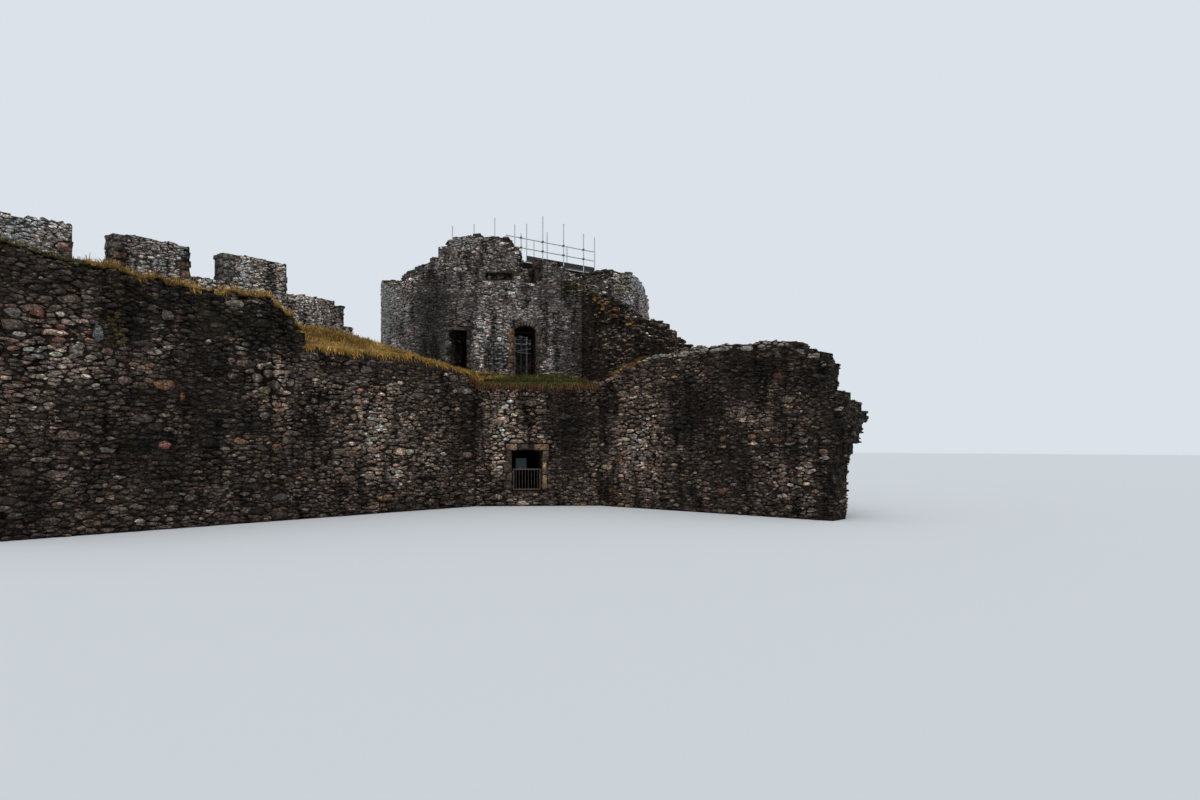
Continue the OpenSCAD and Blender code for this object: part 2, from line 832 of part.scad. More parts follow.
// Two guard rails, and a post for their free end that is clipped to the top ledger
module scaffold_guard_rails() {
  foot = lift_levels[2] - 1.5 * tube_d;
  color("silver") on_first_floor() {
    for (z = [deck_z + 0.55 * guard_h, deck_z + guard_h])
      translate([scaffold_rows[2] - tube_d - seat, rail_from, z])
        rotate([-90, 0, 0]) tube(deck_to - rail_from);
    translate([scaffold_rows[2], deck_to - tube_d, foot]) tube(deck_z + 1.7 * guard_h - foot);
  }
}

// The deck lies in two strips, on both sides of the middle row of uprights
module scaffold_deck() {
  color("burlywood") on_first_floor()
    for (r = [0 : len(scaffold_rows) - 2])
      translate([scaffold_rows[r] + tube_d, deck_from, deck_z - deck_t])
        cube([scaffold_rows[r + 1] - scaffold_rows[r] - 2 * tube_d, deck_to - deck_from, deck_t]);
}

module scaffold_toe_boards() {
  color("dimgray") on_first_floor()
    translate([scaffold_rows[2] - tube_d - deck_t, deck_from, deck_z])
      cube([deck_t, deck_to - deck_from, toe_board_h]);
}

ground_floor();
entrance_step();
lower_wall_east();
lower_stretch(door_dir + 60, door_dir + 120);  // lower_wall_northeast
lower_stretch(door_dir + 120, door_dir + 180);  // lower_wall_north
lower_stretch(door_dir + 180, door_dir + 240);  // lower_wall_west
lower_stretch(door_dir + 240, door_dir + 300);  // lower_wall_southwest
lower_wall_south();
lower_wall_over_door();
upper_wall_east();
color("gray") upper_stretch(door_dir + 60, door_dir + 120, 120);  // upper_wall_northeast
color("gray") upper_stretch(door_dir + 120, door_dir + 180, 130);  // upper_wall_north
color("gray") upper_stretch(door_dir + 180, door_dir + 240, 180);  // upper_wall_west
upper_wall_southwest();
upper_wall_pier();
upper_wall_over_door();
upper_wall_over_walk_door();
upper_door_arch();
walk_door_slab();
first_floor_joists();
first_floor_boards();
corner_side(-1);  // corner_wall_left
corner_side(1);  // corner_wall_right
corner_wall_over_door();
union() {  // earth_terraces
  corner_terrace();
  west_bank();
}
entrance_lintel();
west_inner_leaf();
west_core();
west_parapet();
merlons();
north_inner_leaf();
north_core();
north_outer_leaf();
upper_grille();
gate_pintles();
gate_frame();
gate_bars();
notice_plate();
scaffold_base_plates();
scaffold_standards();
scaffold_ledgers();
scaffold_transoms();
scaffold_guard_rails();
scaffold_deck();
scaffold_toe_boards();
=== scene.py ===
"""Looks of a ruined round keep with the two curtain walls that are bonded into it.

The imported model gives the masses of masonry. This script lays facing stones on
them, dresses the doors, covers the wall heads with turf, and finishes the gate,
the floors and the scaffold. Everything is in metres, in the frame of the part:
+Z up, with the origin on the axis of the keep.
"""

import math

import bpy
import numpy as np
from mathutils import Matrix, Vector
from mathutils.bvhtree import BVHTree


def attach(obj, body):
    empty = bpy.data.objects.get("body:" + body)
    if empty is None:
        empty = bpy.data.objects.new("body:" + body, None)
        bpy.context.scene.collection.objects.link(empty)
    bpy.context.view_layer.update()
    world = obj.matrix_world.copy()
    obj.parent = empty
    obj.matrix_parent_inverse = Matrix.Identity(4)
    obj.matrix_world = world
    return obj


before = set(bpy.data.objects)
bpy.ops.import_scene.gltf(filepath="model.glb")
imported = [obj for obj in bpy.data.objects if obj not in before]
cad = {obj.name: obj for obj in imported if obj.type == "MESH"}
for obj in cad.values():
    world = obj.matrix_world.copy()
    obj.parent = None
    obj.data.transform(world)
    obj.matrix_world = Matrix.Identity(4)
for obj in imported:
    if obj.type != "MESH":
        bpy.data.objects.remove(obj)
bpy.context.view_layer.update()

# Sizes of the part, as its source has them
KEEP_R = 6.1
UPPER_INNER_R = 3.25
LOWER_INNER_R = 3.05
GROUND_FLOOR_Z = 0.56
FIRST_FLOOR_Z = 4.95
WEST_FACE = 4.24
WEST_OUTER = 1.54
WEST_LEN = 21.19
NORTH_FACE = -2.75
NORTH_OUTER = -0.05
NORTH_LEN = 17.3
PARAPET_FACE = 2.14
PARAPET_T = 0.6
RECESS = 0.3
SILL_Z = 7.44
MERLON_FIRST = 12.42
MERLON_PITCH = 3.09
MERLON_L = 2.09
CORNER_REACH = 7.3
DOOR_DIR = math.radians(-40)
# The corner wall looks this far away from the door's direction
CORNER_TURN = math.radians(5)
DOOR_W = 1.15
DOOR_HEAD_Z = 2.11
LINTEL_H = 0.23
# Stones beside the opened gate stand out no further than this, as its leaf stops 27 mm from the masonry
GATE_ROOM = 0.018
UPPER_DOOR_W = 0.86
UPPER_SPRING_Z = FIRST_FLOOR_Z + 1.85
ARCH_RISE = 0.17
ARCH_T = 0.25
WALK_DOOR_DIR = math.radians(-65.4)
WALK_DOOR_W = 0.79
SCAFFOLD_TURN = math.radians(-10)
SCAFFOLD_ROWS = [share * UPPER_INNER_R for share in (-0.615, 0.246, 0.646)]
TUBE_D = 0.0483
DECK_Z = 10.435
DECK_T = 0.038
DECK_OVERHANG = 0.7
GUARD_H = 0.95
SCAFFOLD_CLEAR = 0.135
BAY_L = math.sqrt((UPPER_INNER_R - SCAFFOLD_CLEAR) ** 2 - SCAFFOLD_ROWS[2] ** 2) / 2
LIFTS = [6.9, 8.7, DECK_Z - DECK_T - 1.5 * TUBE_D]
# Over the broken head of the keep, and at the far end of the earth bank beside the parapet
TOP_Z = 11.2
BANK_END = 12.9

EARTH_NODES = ["earth_terraces"]
DRESSED_NODES = ["entrance_step", "upper_door_arch", "walk_door_slab", "entrance_lintel"]
MASONRY = [
    name
    for name in cad
    if name.startswith(("lower_wall", "upper_wall", "corner_", "west_", "north_"))
    or name in ("merlons", *DRESSED_NODES)
]


# Colours and materials

# Settings of a node that blends two colours, and of one that tints the first with the second
BLENDED = dict(data_type="RGBA")
TINTED = dict(data_type="RGBA", blend_type="MULTIPLY")


def linear(hex_colour):
    """An sRGB hex colour as the linear RGBA that shaders take."""
    channels = [int(hex_colour[i : i + 2], 16) / 255 for i in (1, 3, 5)]
    return (*[c / 12.92 if c <= 0.04045 else ((c + 0.055) / 1.055) ** 2.4 for c in channels], 1.0)


def result(node):
    """The output that a node's settings leave in use."""
    return next(socket for socket in node.outputs if socket.enabled)


def add(tree, kind, inputs=(), **settings):
    """Adds a shader node. Its inputs, by name or in order, are values, or sockets or nodes to link from."""
    node = tree.nodes.new("ShaderNode" + kind)
    for name, value in settings.items():
        setattr(node, name, value)
    for name, value in inputs.items() if isinstance(inputs, dict) else enumerate(inputs):
        if isinstance(value, bpy.types.Node):
            value = result(value)
        if isinstance(value, bpy.types.NodeSocket):
            tree.links.new(value, node.inputs[name])
        else:
            node.inputs[name].default_value = value
    return node


def new_material(name, **numbers):
    """A principled material with these numbers set. Returns it, its tree, shader and coordinates."""
    material = bpy.data.materials.new(name)
    material.use_nodes = True
    tree = material.node_tree
    shader = tree.nodes["Principled BSDF"]
    for socket, value in numbers.items():
        shader.inputs[socket.replace("_", " ").title().replace("Ior", "IOR")].default_value = value
    return material, tree, shader, add(tree, "TexCoord").outputs["Object"]


def surface(tree, shader, colour, height, distance, sheen=None):
    """Gives a shader its colour, fine relief of a height in metres, and its roughness if that varies."""
    tree.links.new(result(colour), shader.inputs["Base Color"])
    if sheen:
        tree.links.new(result(sheen), shader.inputs["Roughness"])
    bump = add(tree, "Bump", {"Height": height, "Distance": distance, "Strength": 1.0})
    tree.links.new(bump.outputs["Normal"], shader.inputs["Normal"])


def spalls(tree, place, crack):
    """Small stones wedged in and split off, 80 mm long: how light each is. Crack is that of their joints."""
    bent = add(tree, "TexNoise", {"Vector": place, "Scale": 1 / 0.12, "Detail": 2})
    moved = add(tree, "Mix", {0: 0.12, 4: place, 5: bent.outputs["Color"]}, data_type="VECTOR")
    flat = add(tree, "Mapping", {"Vector": moved, "Scale": (1, 1, 2)})
    size = 1 / 0.08
    one = add(tree, "TexVoronoi", {"Vector": flat, "Scale": size}).outputs["Color"]
    lightness = add(tree, "MapRange", (one, 0.1, 0.9, 0.25, 2.0))
    edge = add(tree, "TexVoronoi", {"Vector": flat, "Scale": size}, feature="DISTANCE_TO_EDGE")
    joint = add(tree, "MapRange", (edge.outputs["Distance"], 0.0, 0.14, crack, 1.1))
    return add(tree, "Math", (lightness, joint), operation="MULTIPLY")


def algae(tree, place):
    """How black the masonry is with algae, in streaks of rain water about 450 mm wide and 1.7 m tall."""
    runs = add(tree, "Mapping", {"Vector": place, "Scale": (2.2, 2.2, 0.6)})
    wet = add(tree, "TexNoise", {"Vector": runs, "Scale": 1.0, "Detail": 7, "Roughness": 0.7})
    return add(tree, "MapRange", (wet, 0.47, 0.62, 0.0, 0.8))


def weathered_rubble():
    """Field and quarry stone, split by hammer, that has stood wet for centuries.

    Each stone has its own colour. Over it go its spalls, a mottle of minerals, black algae that
    runs down with the rain, and pale crustose lichen, which grows where the stone's alpha is high.
    """
    material, tree, shader, place = new_material("weathered_rubble", specular_ior_level=0.2)
    stone = add(tree, "Attribute", attribute_name="tint")
    # Clots of minerals, drawn 90 mm across, as their grains of a few millimetres are too fine to show
    clots = add(tree, "TexNoise", {"Vector": place, "Scale": 1 / 0.09, "Detail": 8, "Roughness": 0.8})
    mottle = add(tree, "MapRange", (clots, 0.38, 0.64, 0.25, 2.1))
    small = spalls(tree, place, 0.45)
    # Sound stones keep their whole faces, others are split, in patches of 500 mm
    sound = add(tree, "TexNoise", {"Vector": place, "Scale": 1 / 0.5, "Detail": 4, "Roughness": 0.7})
    split = add(tree, "MapRange", (sound, 0.4, 0.55, 0.5, 1.0))
    small = add(tree, "Mix", {0: split, 2: 1.0, 3: small})
    mottle = add(tree, "Math", (mottle, small), operation="MULTIPLY")
    base = add(tree, "Mix", {0: 1.0, 6: stone.outputs["Color"], 7: mottle}, **TINTED)
    base = add(tree, "Mix", {0: algae(tree, place), 6: base, 7: linear("#0c0b0a")}, **BLENDED)
    # Rosettes of lichen, 50 mm across
    spots = add(tree, "TexNoise", {"Vector": place, "Scale": 1 / 0.05, "Detail": 4, "Roughness": 0.6})
    spread = add(tree, "Math", (spots, stone.outputs["Alpha"]), operation="ADD")
    lichen = add(tree, "MapRange", (spread, 0.82, 0.98, 0.0, 0.8))
    base = add(tree, "Mix", {0: lichen, 6: base, 7: linear("#a2a5a0")}, **BLENDED)
    sheen = add(tree, "MapRange", (clots, 0.3, 0.7, 0.6, 0.95))
    # Pits and ridges from the hammer, 45 mm apart
    rough = add(tree, "TexNoise", {"Vector": place, "Scale": 1 / 0.045, "Detail": 8, "Roughness": 0.75})
    rough = add(tree, "Math", (small, rough), operation="ADD")
    surface(tree, shader, base, rough, 0.025, sheen)
    return material


def mortar_bed(name, dark, pale):
    """Lime mortar between the stones, dark with soil and algae, with small pinning stones left in it."""
    material, tree, shader, place = new_material(name, roughness=0.95, specular_ior_level=0.05)
    pins = spalls(tree, place, 0.15)
    # Grit of the lime, drawn 40 mm across, as its grains of about 5 mm are too fine to show
    grit = add(tree, "TexNoise", {"Vector": place, "Scale": 1 / 0.04, "Detail": 8, "Roughness": 0.75})
    share = add(tree, "Math", (pins, grit), operation="MULTIPLY")
    base = add(tree, "Mix", {0: share, 6: linear(dark), 7: linear(pale)}, **BLENDED)
    base = add(tree, "Mix", {0: algae(tree, place), 6: base, 7: linear("#030303")}, **BLENDED)
    surface(tree, shader, base, share, 0.05)
    return material


def dry_turf():
    """Soft capping of earth under a thatch of dry moss and turf, whose light and shade hang in strands.

    The strands are drawn 30 mm thick, as single blades are too fine to show.
    Its colour is the mesh's own: golden where it stands up, olive where it lies, rust where it hangs.
    """
    material, tree, shader, place = new_material("dry_turf", roughness=0.95, specular_ior_level=0.15)
    tint = add(tree, "Attribute", attribute_name="tint")
    hang = add(tree, "Mapping", {"Vector": place, "Scale": (1.0, 1.0, 0.25)})
    strands = add(tree, "TexNoise", {"Vector": hang, "Scale": 1 / 0.03, "Detail": 8, "Roughness": 0.8})
    shade = add(tree, "MapRange", (strands, 0.3, 0.7, 0.3, 1.7))
    base = add(tree, "Mix", {0: 1.0, 6: tint.outputs["Color"], 7: shade}, **TINTED)
    surface(tree, shader, base, strands, 0.05)
    return material


def plain_finish(name, colours, size, roughness, metallic=0.0, stretch=(1, 1, 1), depth=0.002, shine=0.5):
    """A finish of two colours that drift into each other over size metres, with a fine relief of its own.

    Stretch is how many times finer the pattern is along each axis, as across the grain of a board.
    Depth is the relief in metres, and shine the specular level.
    """
    material, tree, shader, place = new_material(name, metallic=metallic, specular_ior_level=shine)
    spread = add(tree, "Mapping", {"Vector": place, "Scale": stretch})
    grain = add(tree, "TexNoise", {"Vector": spread, "Scale": 1 / size, "Detail": 7, "Roughness": 0.7})
    share = add(tree, "MapRange", (grain, 0.35, 0.68))
    base = add(tree, "Mix", {0: share, 6: linear(colours[0]), 7: linear(colours[1])}, **BLENDED)
    sheen = add(tree, "MapRange", (grain, 0.3, 0.7, roughness - 0.1, roughness + 0.1))
    surface(tree, shader, base, grain, depth, sheen)
    return material


RUBBLE = weathered_rubble()
# Washed back deep behind the faces of the curtain walls, and still filling the joints of keep and parapet
WASHED_MORTAR = mortar_bed("washed_mortar", "#0a0908", "#544a41")
FULL_MORTAR = mortar_bed("full_mortar", "#1d1a18", "#858079")
TURF = dry_turf()
# Wrought iron, forged and brushed with black paint that has gone dull, and brown with rust in spots of 30 mm
IRON = plain_finish("painted_wrought_iron", ("#0e0c0b", "#2b2018"), 0.03, 0.7, shine=0.15)
# The same iron with painted light: paler colours show the gate lit deep in the shaded passage, with thin
# brown rust
IRON_WITH_PAINTED_LIGHT = plain_finish("wrought_iron_painted_light", ("#4a4140", "#75655d"), 0.03, 0.7, shine=0.3)
# Steel tube, galvanised in hot zinc: pale grey and dull, with a spangle about 12 mm across
ZINC = plain_finish("galvanised_steel", ("#b6c0c8", "#d6dde2"), 0.012, 0.42, 0.1)
# Steel couplers, forged and plated, duller and darker than the tubes they grip
FORGED = plain_finish("forged_couplers", ("#4a4c4d", "#6e7072"), 0.01, 0.55, 0.7)
# Scaffold boards of sawn spruce, grey from weather, with grain 1 mm wide along the board
SPRUCE = plain_finish("weathered_spruce", ("#4f473b", "#857863"), 0.012, 0.85, 0, (12, 1, 12))
# Toe boards of the same spruce, stained nearly black, with the grain still showing
DARK_BOARD = plain_finish("stained_board", ("#1d1f22", "#33363a"), 0.012, 0.8, 0, (12, 1, 12))
# Joists and floor boards of sawn oak, gone brown with age, with grain a little over 1 mm wide
OAK = plain_finish("weathered_oak", ("#3a2f25", "#6b5a47"), 0.015, 0.85, 0, (12, 1, 12))
# Rammed earth and gravel of the ground floor and of the banks under the turf, matt, in patches of 60 mm
EARTH = plain_finish("rammed_earth", ("#1b1612", "#332a20"), 0.06, 0.95, depth=0.01)
# Sheet steel under fired enamel, once glossy and now weathered dull, in clouds of 200 mm, with the shade of
# the doorway painted into its dark colours
ENAMEL_IN_PAINTED_SHADE = plain_finish("enamelled_sheet_painted_shade", ("#20262b", "#333a40"), 0.2, 0.6, depth=0.0002, shine=0.2)


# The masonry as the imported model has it


def masonry_tree(names):
    """A search tree over the faces of these nodes, the node that each face is of, and its corners."""
    corners, faces, owners = [], [], []
    for name in names:
        mesh = cad[name].data
        mesh.calc_loop_triangles()
        first = len(corners)
        corners += [tuple(v.co) for v in mesh.vertices]
        for triangle in mesh.loop_triangles:
            faces.append(tuple(first + i for i in triangle.vertices))
            owners.append(name)
    tree = BVHTree.FromPolygons(corners, faces, all_triangles=True)
    return tree, owners, np.array(corners)[np.array(faces)]


masonry, masonry_owner, masonry_corners = masonry_tree(MASONRY + EARTH_NODES)
# Width of the cells in which a face is surveyed, how far behind it masonry is looked for,
# how far two spots of one face may differ in level, and the height from which wall heads are seen
CELL = 0.05
BEHIND = 0.5
FLUSH = 0.04
ABOVE = 13.0
# Corners in the outline of a stone
SIDES = 7
UP = np.array((0, 0, 1.0))


def upright(origin, normal):
    """Places (across, up, out) points on an upright plane. Across runs to the right, seen from outside."""
    out = np.array([*normal, 0.0]) / math.hypot(*normal)
    across = np.cross(UP, out)
    start = np.array(origin, float)

    def place(a, b, d):
        return start + a[..., None] * across + b[..., None] * UP + d[..., None] * out

    return place


def around(radius, inward=False):
    """Places (across, up, out) points on the round wall; across is measured along the arc."""
    side = -1 if inward else 1

    def place(a, b, d):
        angle = side * a / radius
        r = radius + side * d
        return np.stack([r * np.cos(angle), r * np.sin(angle), b + 0 * d], axis=-1)

    return place


def from_above(a, b, d):
    """Places (east, north, up) points as they are."""
    return np.stack([a, b, d], axis=-1)


def cells(spans):
    """Middles of the cells of a face, across and up."""
    axes = [np.arange(low + CELL / 2, high, CELL) for low, high in spans]
    return np.meshgrid(*axes, indexing="ij")


def survey(place, spans, start, only=None):
    """How far out the masonry stands at each cell of a face, nan where it is open or another node's.

    Start is how far outside the face the search begins.
    """
    a, b = cells(spans)
    far = place(a, b, np.full(a.shape, start))
    aim = place(a, b, np.full(a.shape, start - 1.0)) - far
    depth = np.full(a.size, np.nan)
    for k, (p, q) in enumerate(zip(far.reshape(-1, 3).tolist(), aim.reshape(-1, 3).tolist())):
        spot, normal, face, distance = masonry.ray_cast(p, q, start + BEHIND)
        if spot is None or masonry_owner[face] not in (only or MASONRY):
            continue
        if normal[0] * q[0] + normal[1] * q[1] + normal[2] * q[2] < -0.6:
            depth[k] = start - distance
    return depth.reshape(a.shape)


def drift(points, size, seed=0):
    """Smooth noise from -1 to 1 over points in metres, with features of about the given size."""
    spots = points / size
    base = np.floor(spots).astype(np.int64)
    part = spots - base
    part = part * part * (3 - 2 * part)
    total = np.zeros(points.shape[:-1])
    for corner in np.ndindex(2, 2, 2):
        k = base + np.array(corner)
        h = (k[..., 0] * 73856093) ^ (k[..., 1] * 19349663) ^ (k[..., 2] * 83492791) ^ (seed * 7919)
        h = ((h ^ (h >> 13)) * 1274126177) & 0x7FFFFFFF
        value = ((h ^ (h >> 15)) & 0xFFFF) / 32768 - 1
        total += value * np.prod(np.where(corner, part, 1 - part), axis=-1)
    return total


# Colours of the stones

# Stone kinds: colour, share in the walls
KINDS = [
    ("#38312d", 0.18),
    ("#453d38", 0.23),
    ("#544a43", 0.2),
    ("#5c5753", 0.14),
    ("#635249", 0.09),
    ("#75685c", 0.06),
    ("#8b8680", 0.03),
    ("#6b543f", 0.03),
    ("#6a4a3f", 0.02),
    ("#836d62", 0.02),
]
KIND_COLOURS = np.array([linear(c)[:3] for c, share in KINDS])
KIND_SHARES = np.array([share for c, share in KINDS])

# Patches that are lighter or darker than the rest, partly in the stone's own colour and partly painted light
# and shade, as on the keep's east side and in a hollow under large stones: centre x, y, z, reach level and
# up, factor on the colour
TONES_AND_PAINTED_LIGHT = [
    (4.24, -19.86, 4.6, 1.6, 1.4, 3.4),
    (4.24, -17.7, 6.45, 3.0, 0.45, 0.5),
    (4.24, -17.85, 5.48, 0.6, 0.45, 0.2),
    (4.24, -13.96, 4.32, 0.9, 0.8, 5.0),
    (4.24, -15.3, 3.1, 1.6, 1.4, 0.45),
    (4.24, -17.7, 2.3, 0.6, 0.4, 0.2),
    (4.24, -10.51, 2.47, 1.3, 1.7, 2.2),
    (4.24, -12.5, 5.7, 2.2, 0.5, 0.6),
    (4.24, -8.5, 2.9, 1.1, 1.6, 2.3),
    (4.24, -6.93, 1.75, 0.4, 0.8, 0.5),
    (4.32, -6.0, 2.8, 0.5, 1.5, 0.3),
    (5.06, -5.26, 3.24, 0.9, 0.8, 1.7),
    (6.7, -3.5, 2.6, 1.1, 2.4, 0.08),
    (9.4, -2.75, 2.6, 1.2, 2.0, 4.6),
    (11.69, -2.75, 3.16, 1.4, 1.4, 0.55),
    (14.7, -2.75, 4.5, 2.4, 0.8, 0.45),
    (15.83, -2.75, 1.27, 1.2, 0.55, 1.6),
    # Painted shadow in the hollow under a row of large stones
    (15.83, -2.75, 2.21, 0.9, 0.16, 0.25),
    (13.55, -2.75, 3.5, 0.9, 0.6, 1.5),
    (13.11, -2.75, 1.63, 1.0, 0.9, 0.6),
    (16.99, -2.75, 1.55, 0.5, 1.5, 0.4),
    (1.5, -5.9, 7.7, 1.0, 1.0, 0.1),
    (1.4, -5.91, 6.0, 0.8, 0.9, 0.15),
    (4.14, -4.48, 7.5, 1.1, 1.2, 1.35),
    (3.7, -4.85, 5.9, 0.8, 1.0, 1.8),
    (5.14, -3.28, 7.23, 0.8, 1.0, 1.2),
    # Painted shade on the keep's east side, where little light falls
    (5.73, -2.1, 6.8, 0.8, 1.7, 0.25),
    (6.02, -0.99, 7.2, 0.8, 1.6, 0.2),
    (-0.6, -5.8, 9.4, 1.5, 0.3, 4.0),
    (6.9, -1.9, 6.4, 1.4, 1.5, 2.6),
    (4.24, -10.0, 3.0, 1.6, 1.6, 2.0),
    (5.6, -0.8, 9.5, 1.0, 0.5, 2.6),
    (5.9, 1.5, 9.1, 1.8, 0.8, 2.2),
    (13.0, -2.2, 5.75, 3.0, 0.15, 2.2),
]
# Patches where pale lichen grows, which on two flanks of the keep also stand for painted light from the sky:
# centre x, y, z, reach level and up, amount
LICHENS_AND_PAINTED_LIGHT = [
    # Lichen and painted light from the sky along the keep's south-west flank
    (-1.8, -5.8, 8.0, 2.0, 2.5, 0.36),
    # Lichen and painted light from the sky along the keep's east flank
    (5.9, 1.4, 9.3, 2.0, 0.9, 0.35),
    (2.5, -5.3, 10.3, 2.2, 0.6, 0.3),
    (13.0, -2.0, 5.7, 3.5, 0.3, 0.2),
    (2.0, -16.0, 8.3, 5.0, 0.4, 0.25),
]
# Stones grown over with moss: centre x, y, z, reach level and up, colour
MOSSES = [
    (5.8, -2.2, 8.6, 0.5, 0.2, "#7b6a35"),
    (7.1, -2.2, 7.95, 0.6, 0.25, "#8c6a33"),
    (7.7, -2.2, 7.5, 0.5, 0.25, "#8a552b"),
    (8.4, -2.2, 7.0, 0.5, 0.25, "#7c5630"),
    (8.9, -2.2, 6.6, 0.3, 0.25, "#a3914f"),
    (10.3, -2.2, 5.75, 0.35, 0.15, "#a39355"),
    (12.1, -2.4, 5.1, 0.3, 0.25, "#7f7a3f"),
    (5.9, 0.4, 9.3, 0.35, 0.35, "#8f8547"),
    (4.24, -18.2, 5.6, 0.25, 0.6, "#4d4327"),
    (4.24, -15.3, 5.9, 1.5, 0.3, "#352f20"),
    (4.3, -4.4, 9.0, 0.6, 0.1, "#4f4a2c"),
]
# Large stones that catch the eye, on the west and the north curtain: across, up, length, height, colour
WEST_BOULDERS = [
    (-16.98, 3.94, 0.6, 0.36, "#8a5c3a"),
    (-16.98, 2.3, 0.34, 0.3, "#96584a"),
    (-17.97, 4.01, 0.36, 0.26, "#8e7165"),
    (-19.9, 5.54, 0.36, 0.2, "#84503f"),
    (-19.44, 5.25, 0.3, 0.18, "#7d4a3c"),
    (-19.48, 4.92, 0.34, 0.2, "#7a5246"),
    (-20.4, 5.5, 0.4, 0.3, "#6f6f6c"),
    (-18.6, 5.19, 0.28, 0.5, "#626a6c"),
    (-19.1, 4.7, 0.4, 0.3, "#8a8478"),
    (-16.93, 5.85, 0.42, 0.36, "#8f887e"),
    (-16.54, 3.6, 0.16, 0.3, "#84502f"),
    (-15.16, 4.3, 0.3, 0.24, "#6d5660"),
    (-15.19, 4.76, 0.26, 0.18, "#94716a"),
    (-14.42, 4.28, 0.42, 0.34, "#8c7c6c"),
    (-14.05, 4.44, 0.4, 0.28, "#9a8877"),
    (-13.9, 4.12, 0.46, 0.34, "#8d8076"),
    (-13.38, 4.22, 0.3, 0.26, "#95806f"),
    (-14.2, 3.2, 0.36, 0.26, "#8b7f71"),
    (-18.3, 4.45, 0.3, 0.22, "#4d5153"),
    (-17.5, 5.0, 0.9, 0.18, "#2e2c2a"),
    (-12.6, 3.7, 0.3, 0.2, "#73655a"),
    (-11.2, 3.2, 0.28, 0.26, "#877768"),
]
NORTH_BOULDERS = [
    (14.13, 2.56, 0.36, 0.24, "#86603d"),
    (14.97, 2.46, 0.38, 0.2, "#8f653e"),
    (15.49, 2.46, 0.34, 0.2, "#784838"),
    (15.94, 2.42, 0.34, 0.2, "#7d7a76"),
    (13.74, 3.3, 0.32, 0.28, "#7b685a"),
    (13.05, 3.05, 0.24, 0.22, "#80503a"),
    (13.02, 2.5, 0.3, 0.24, "#7b5d44"),
    (16.6, 2.1, 0.3, 0.2, "#7c6450"),
    (15.72, 1.2, 0.5, 0.3, "#85715b"),
    (15.3, 0.9, 0.4, 0.24, "#5f4f45"),
    (10.35, 2.2, 0.36, 0.24, "#857662"),
    (9.6, 1.8, 0.36, 0.24, "#8c8781"),
    (9.1, 3.0, 0.3, 0.22, "#7f7064"),
    (10.0, 3.5, 0.3, 0.24, "#82706a"),
]
# Single stones of the keep that catch the eye: place, colour
ACCENTS = [
    ((4.22, -4.4, 8.33), "#9a6a3f"),
    ((4.39, -4.24, 8.02), "#9c6f62"),
    ((2.75, -5.44, 9.5), "#aaa79f"),
]


def nearness(points, patch):
    """1 at the centre of a patch, falling to 0 beyond its reach level and its reach up."""
    away = points - np.array(patch[:3])
    return np.exp(-(away[:, 0] ** 2 + away[:, 1] ** 2) / patch[3] ** 2 - away[:, 2] ** 2 / patch[4] ** 2)


def tinted(centres, rng, tone=1.0, calm=0.3, hue=(1.05, 1.0, 0.93), uneven=0.36):
    """A colour for each stone, with the amount of pale lichen on it as alpha.

    Calm is how far each stone's own kind gives way to the mean of all kinds; hue shifts them all,
    and uneven is how far one stone is lighter or darker than the next.
    """
    colour = KIND_COLOURS[rng.choice(len(KINDS), len(centres), p=KIND_SHARES / KIND_SHARES.sum())]
    colour = colour + calm * (KIND_SHARES @ KIND_COLOURS / KIND_SHARES.sum() - colour)
    factor = tone * np.exp(rng.normal(0, uneven, len(centres)) + 0.5 * drift(centres, 0.6, 4))
    factor *= np.exp(0.65 * drift(centres, 1.7, 3) + 0.45 * drift(centres * (2, 2, 0.33), 1.0, 5))
    lichen = 0.1 + 0.12 * drift(centres, 1.1, 8)
    # Patches of lighter and darker stone, and of painted light and shade
    for *patch, change in TONES_AND_PAINTED_LIGHT:
        factor *= change ** nearness(centres, patch)
    # Lichen, and on two flanks of the keep painted light
    for *patch, amount in LICHENS_AND_PAINTED_LIGHT:
        lichen += amount * nearness(centres, patch)
    colour = np.clip(colour * hue * factor[:, None], 0.004, 0.6)
    for *patch, moss in MOSSES:
        mossy = rng.uniform(0, 1, len(centres)) < 1.2 * nearness(centres, patch)
        colour[mossy] = np.array(linear(moss)[:3]) * np.exp(rng.normal(0, 0.3, (mossy.sum(), 1)))
    for spot, shade in ACCENTS:
        away = np.linalg.norm(centres - np.array(spot), axis=1)
        if away.min(initial=1) < 0.3:
            colour[away.argmin()] = linear(shade)[:3]
    return np.concatenate([colour, np.clip(lichen, 0, 0.6)[:, None]], axis=1)


# Shaping and laying stones


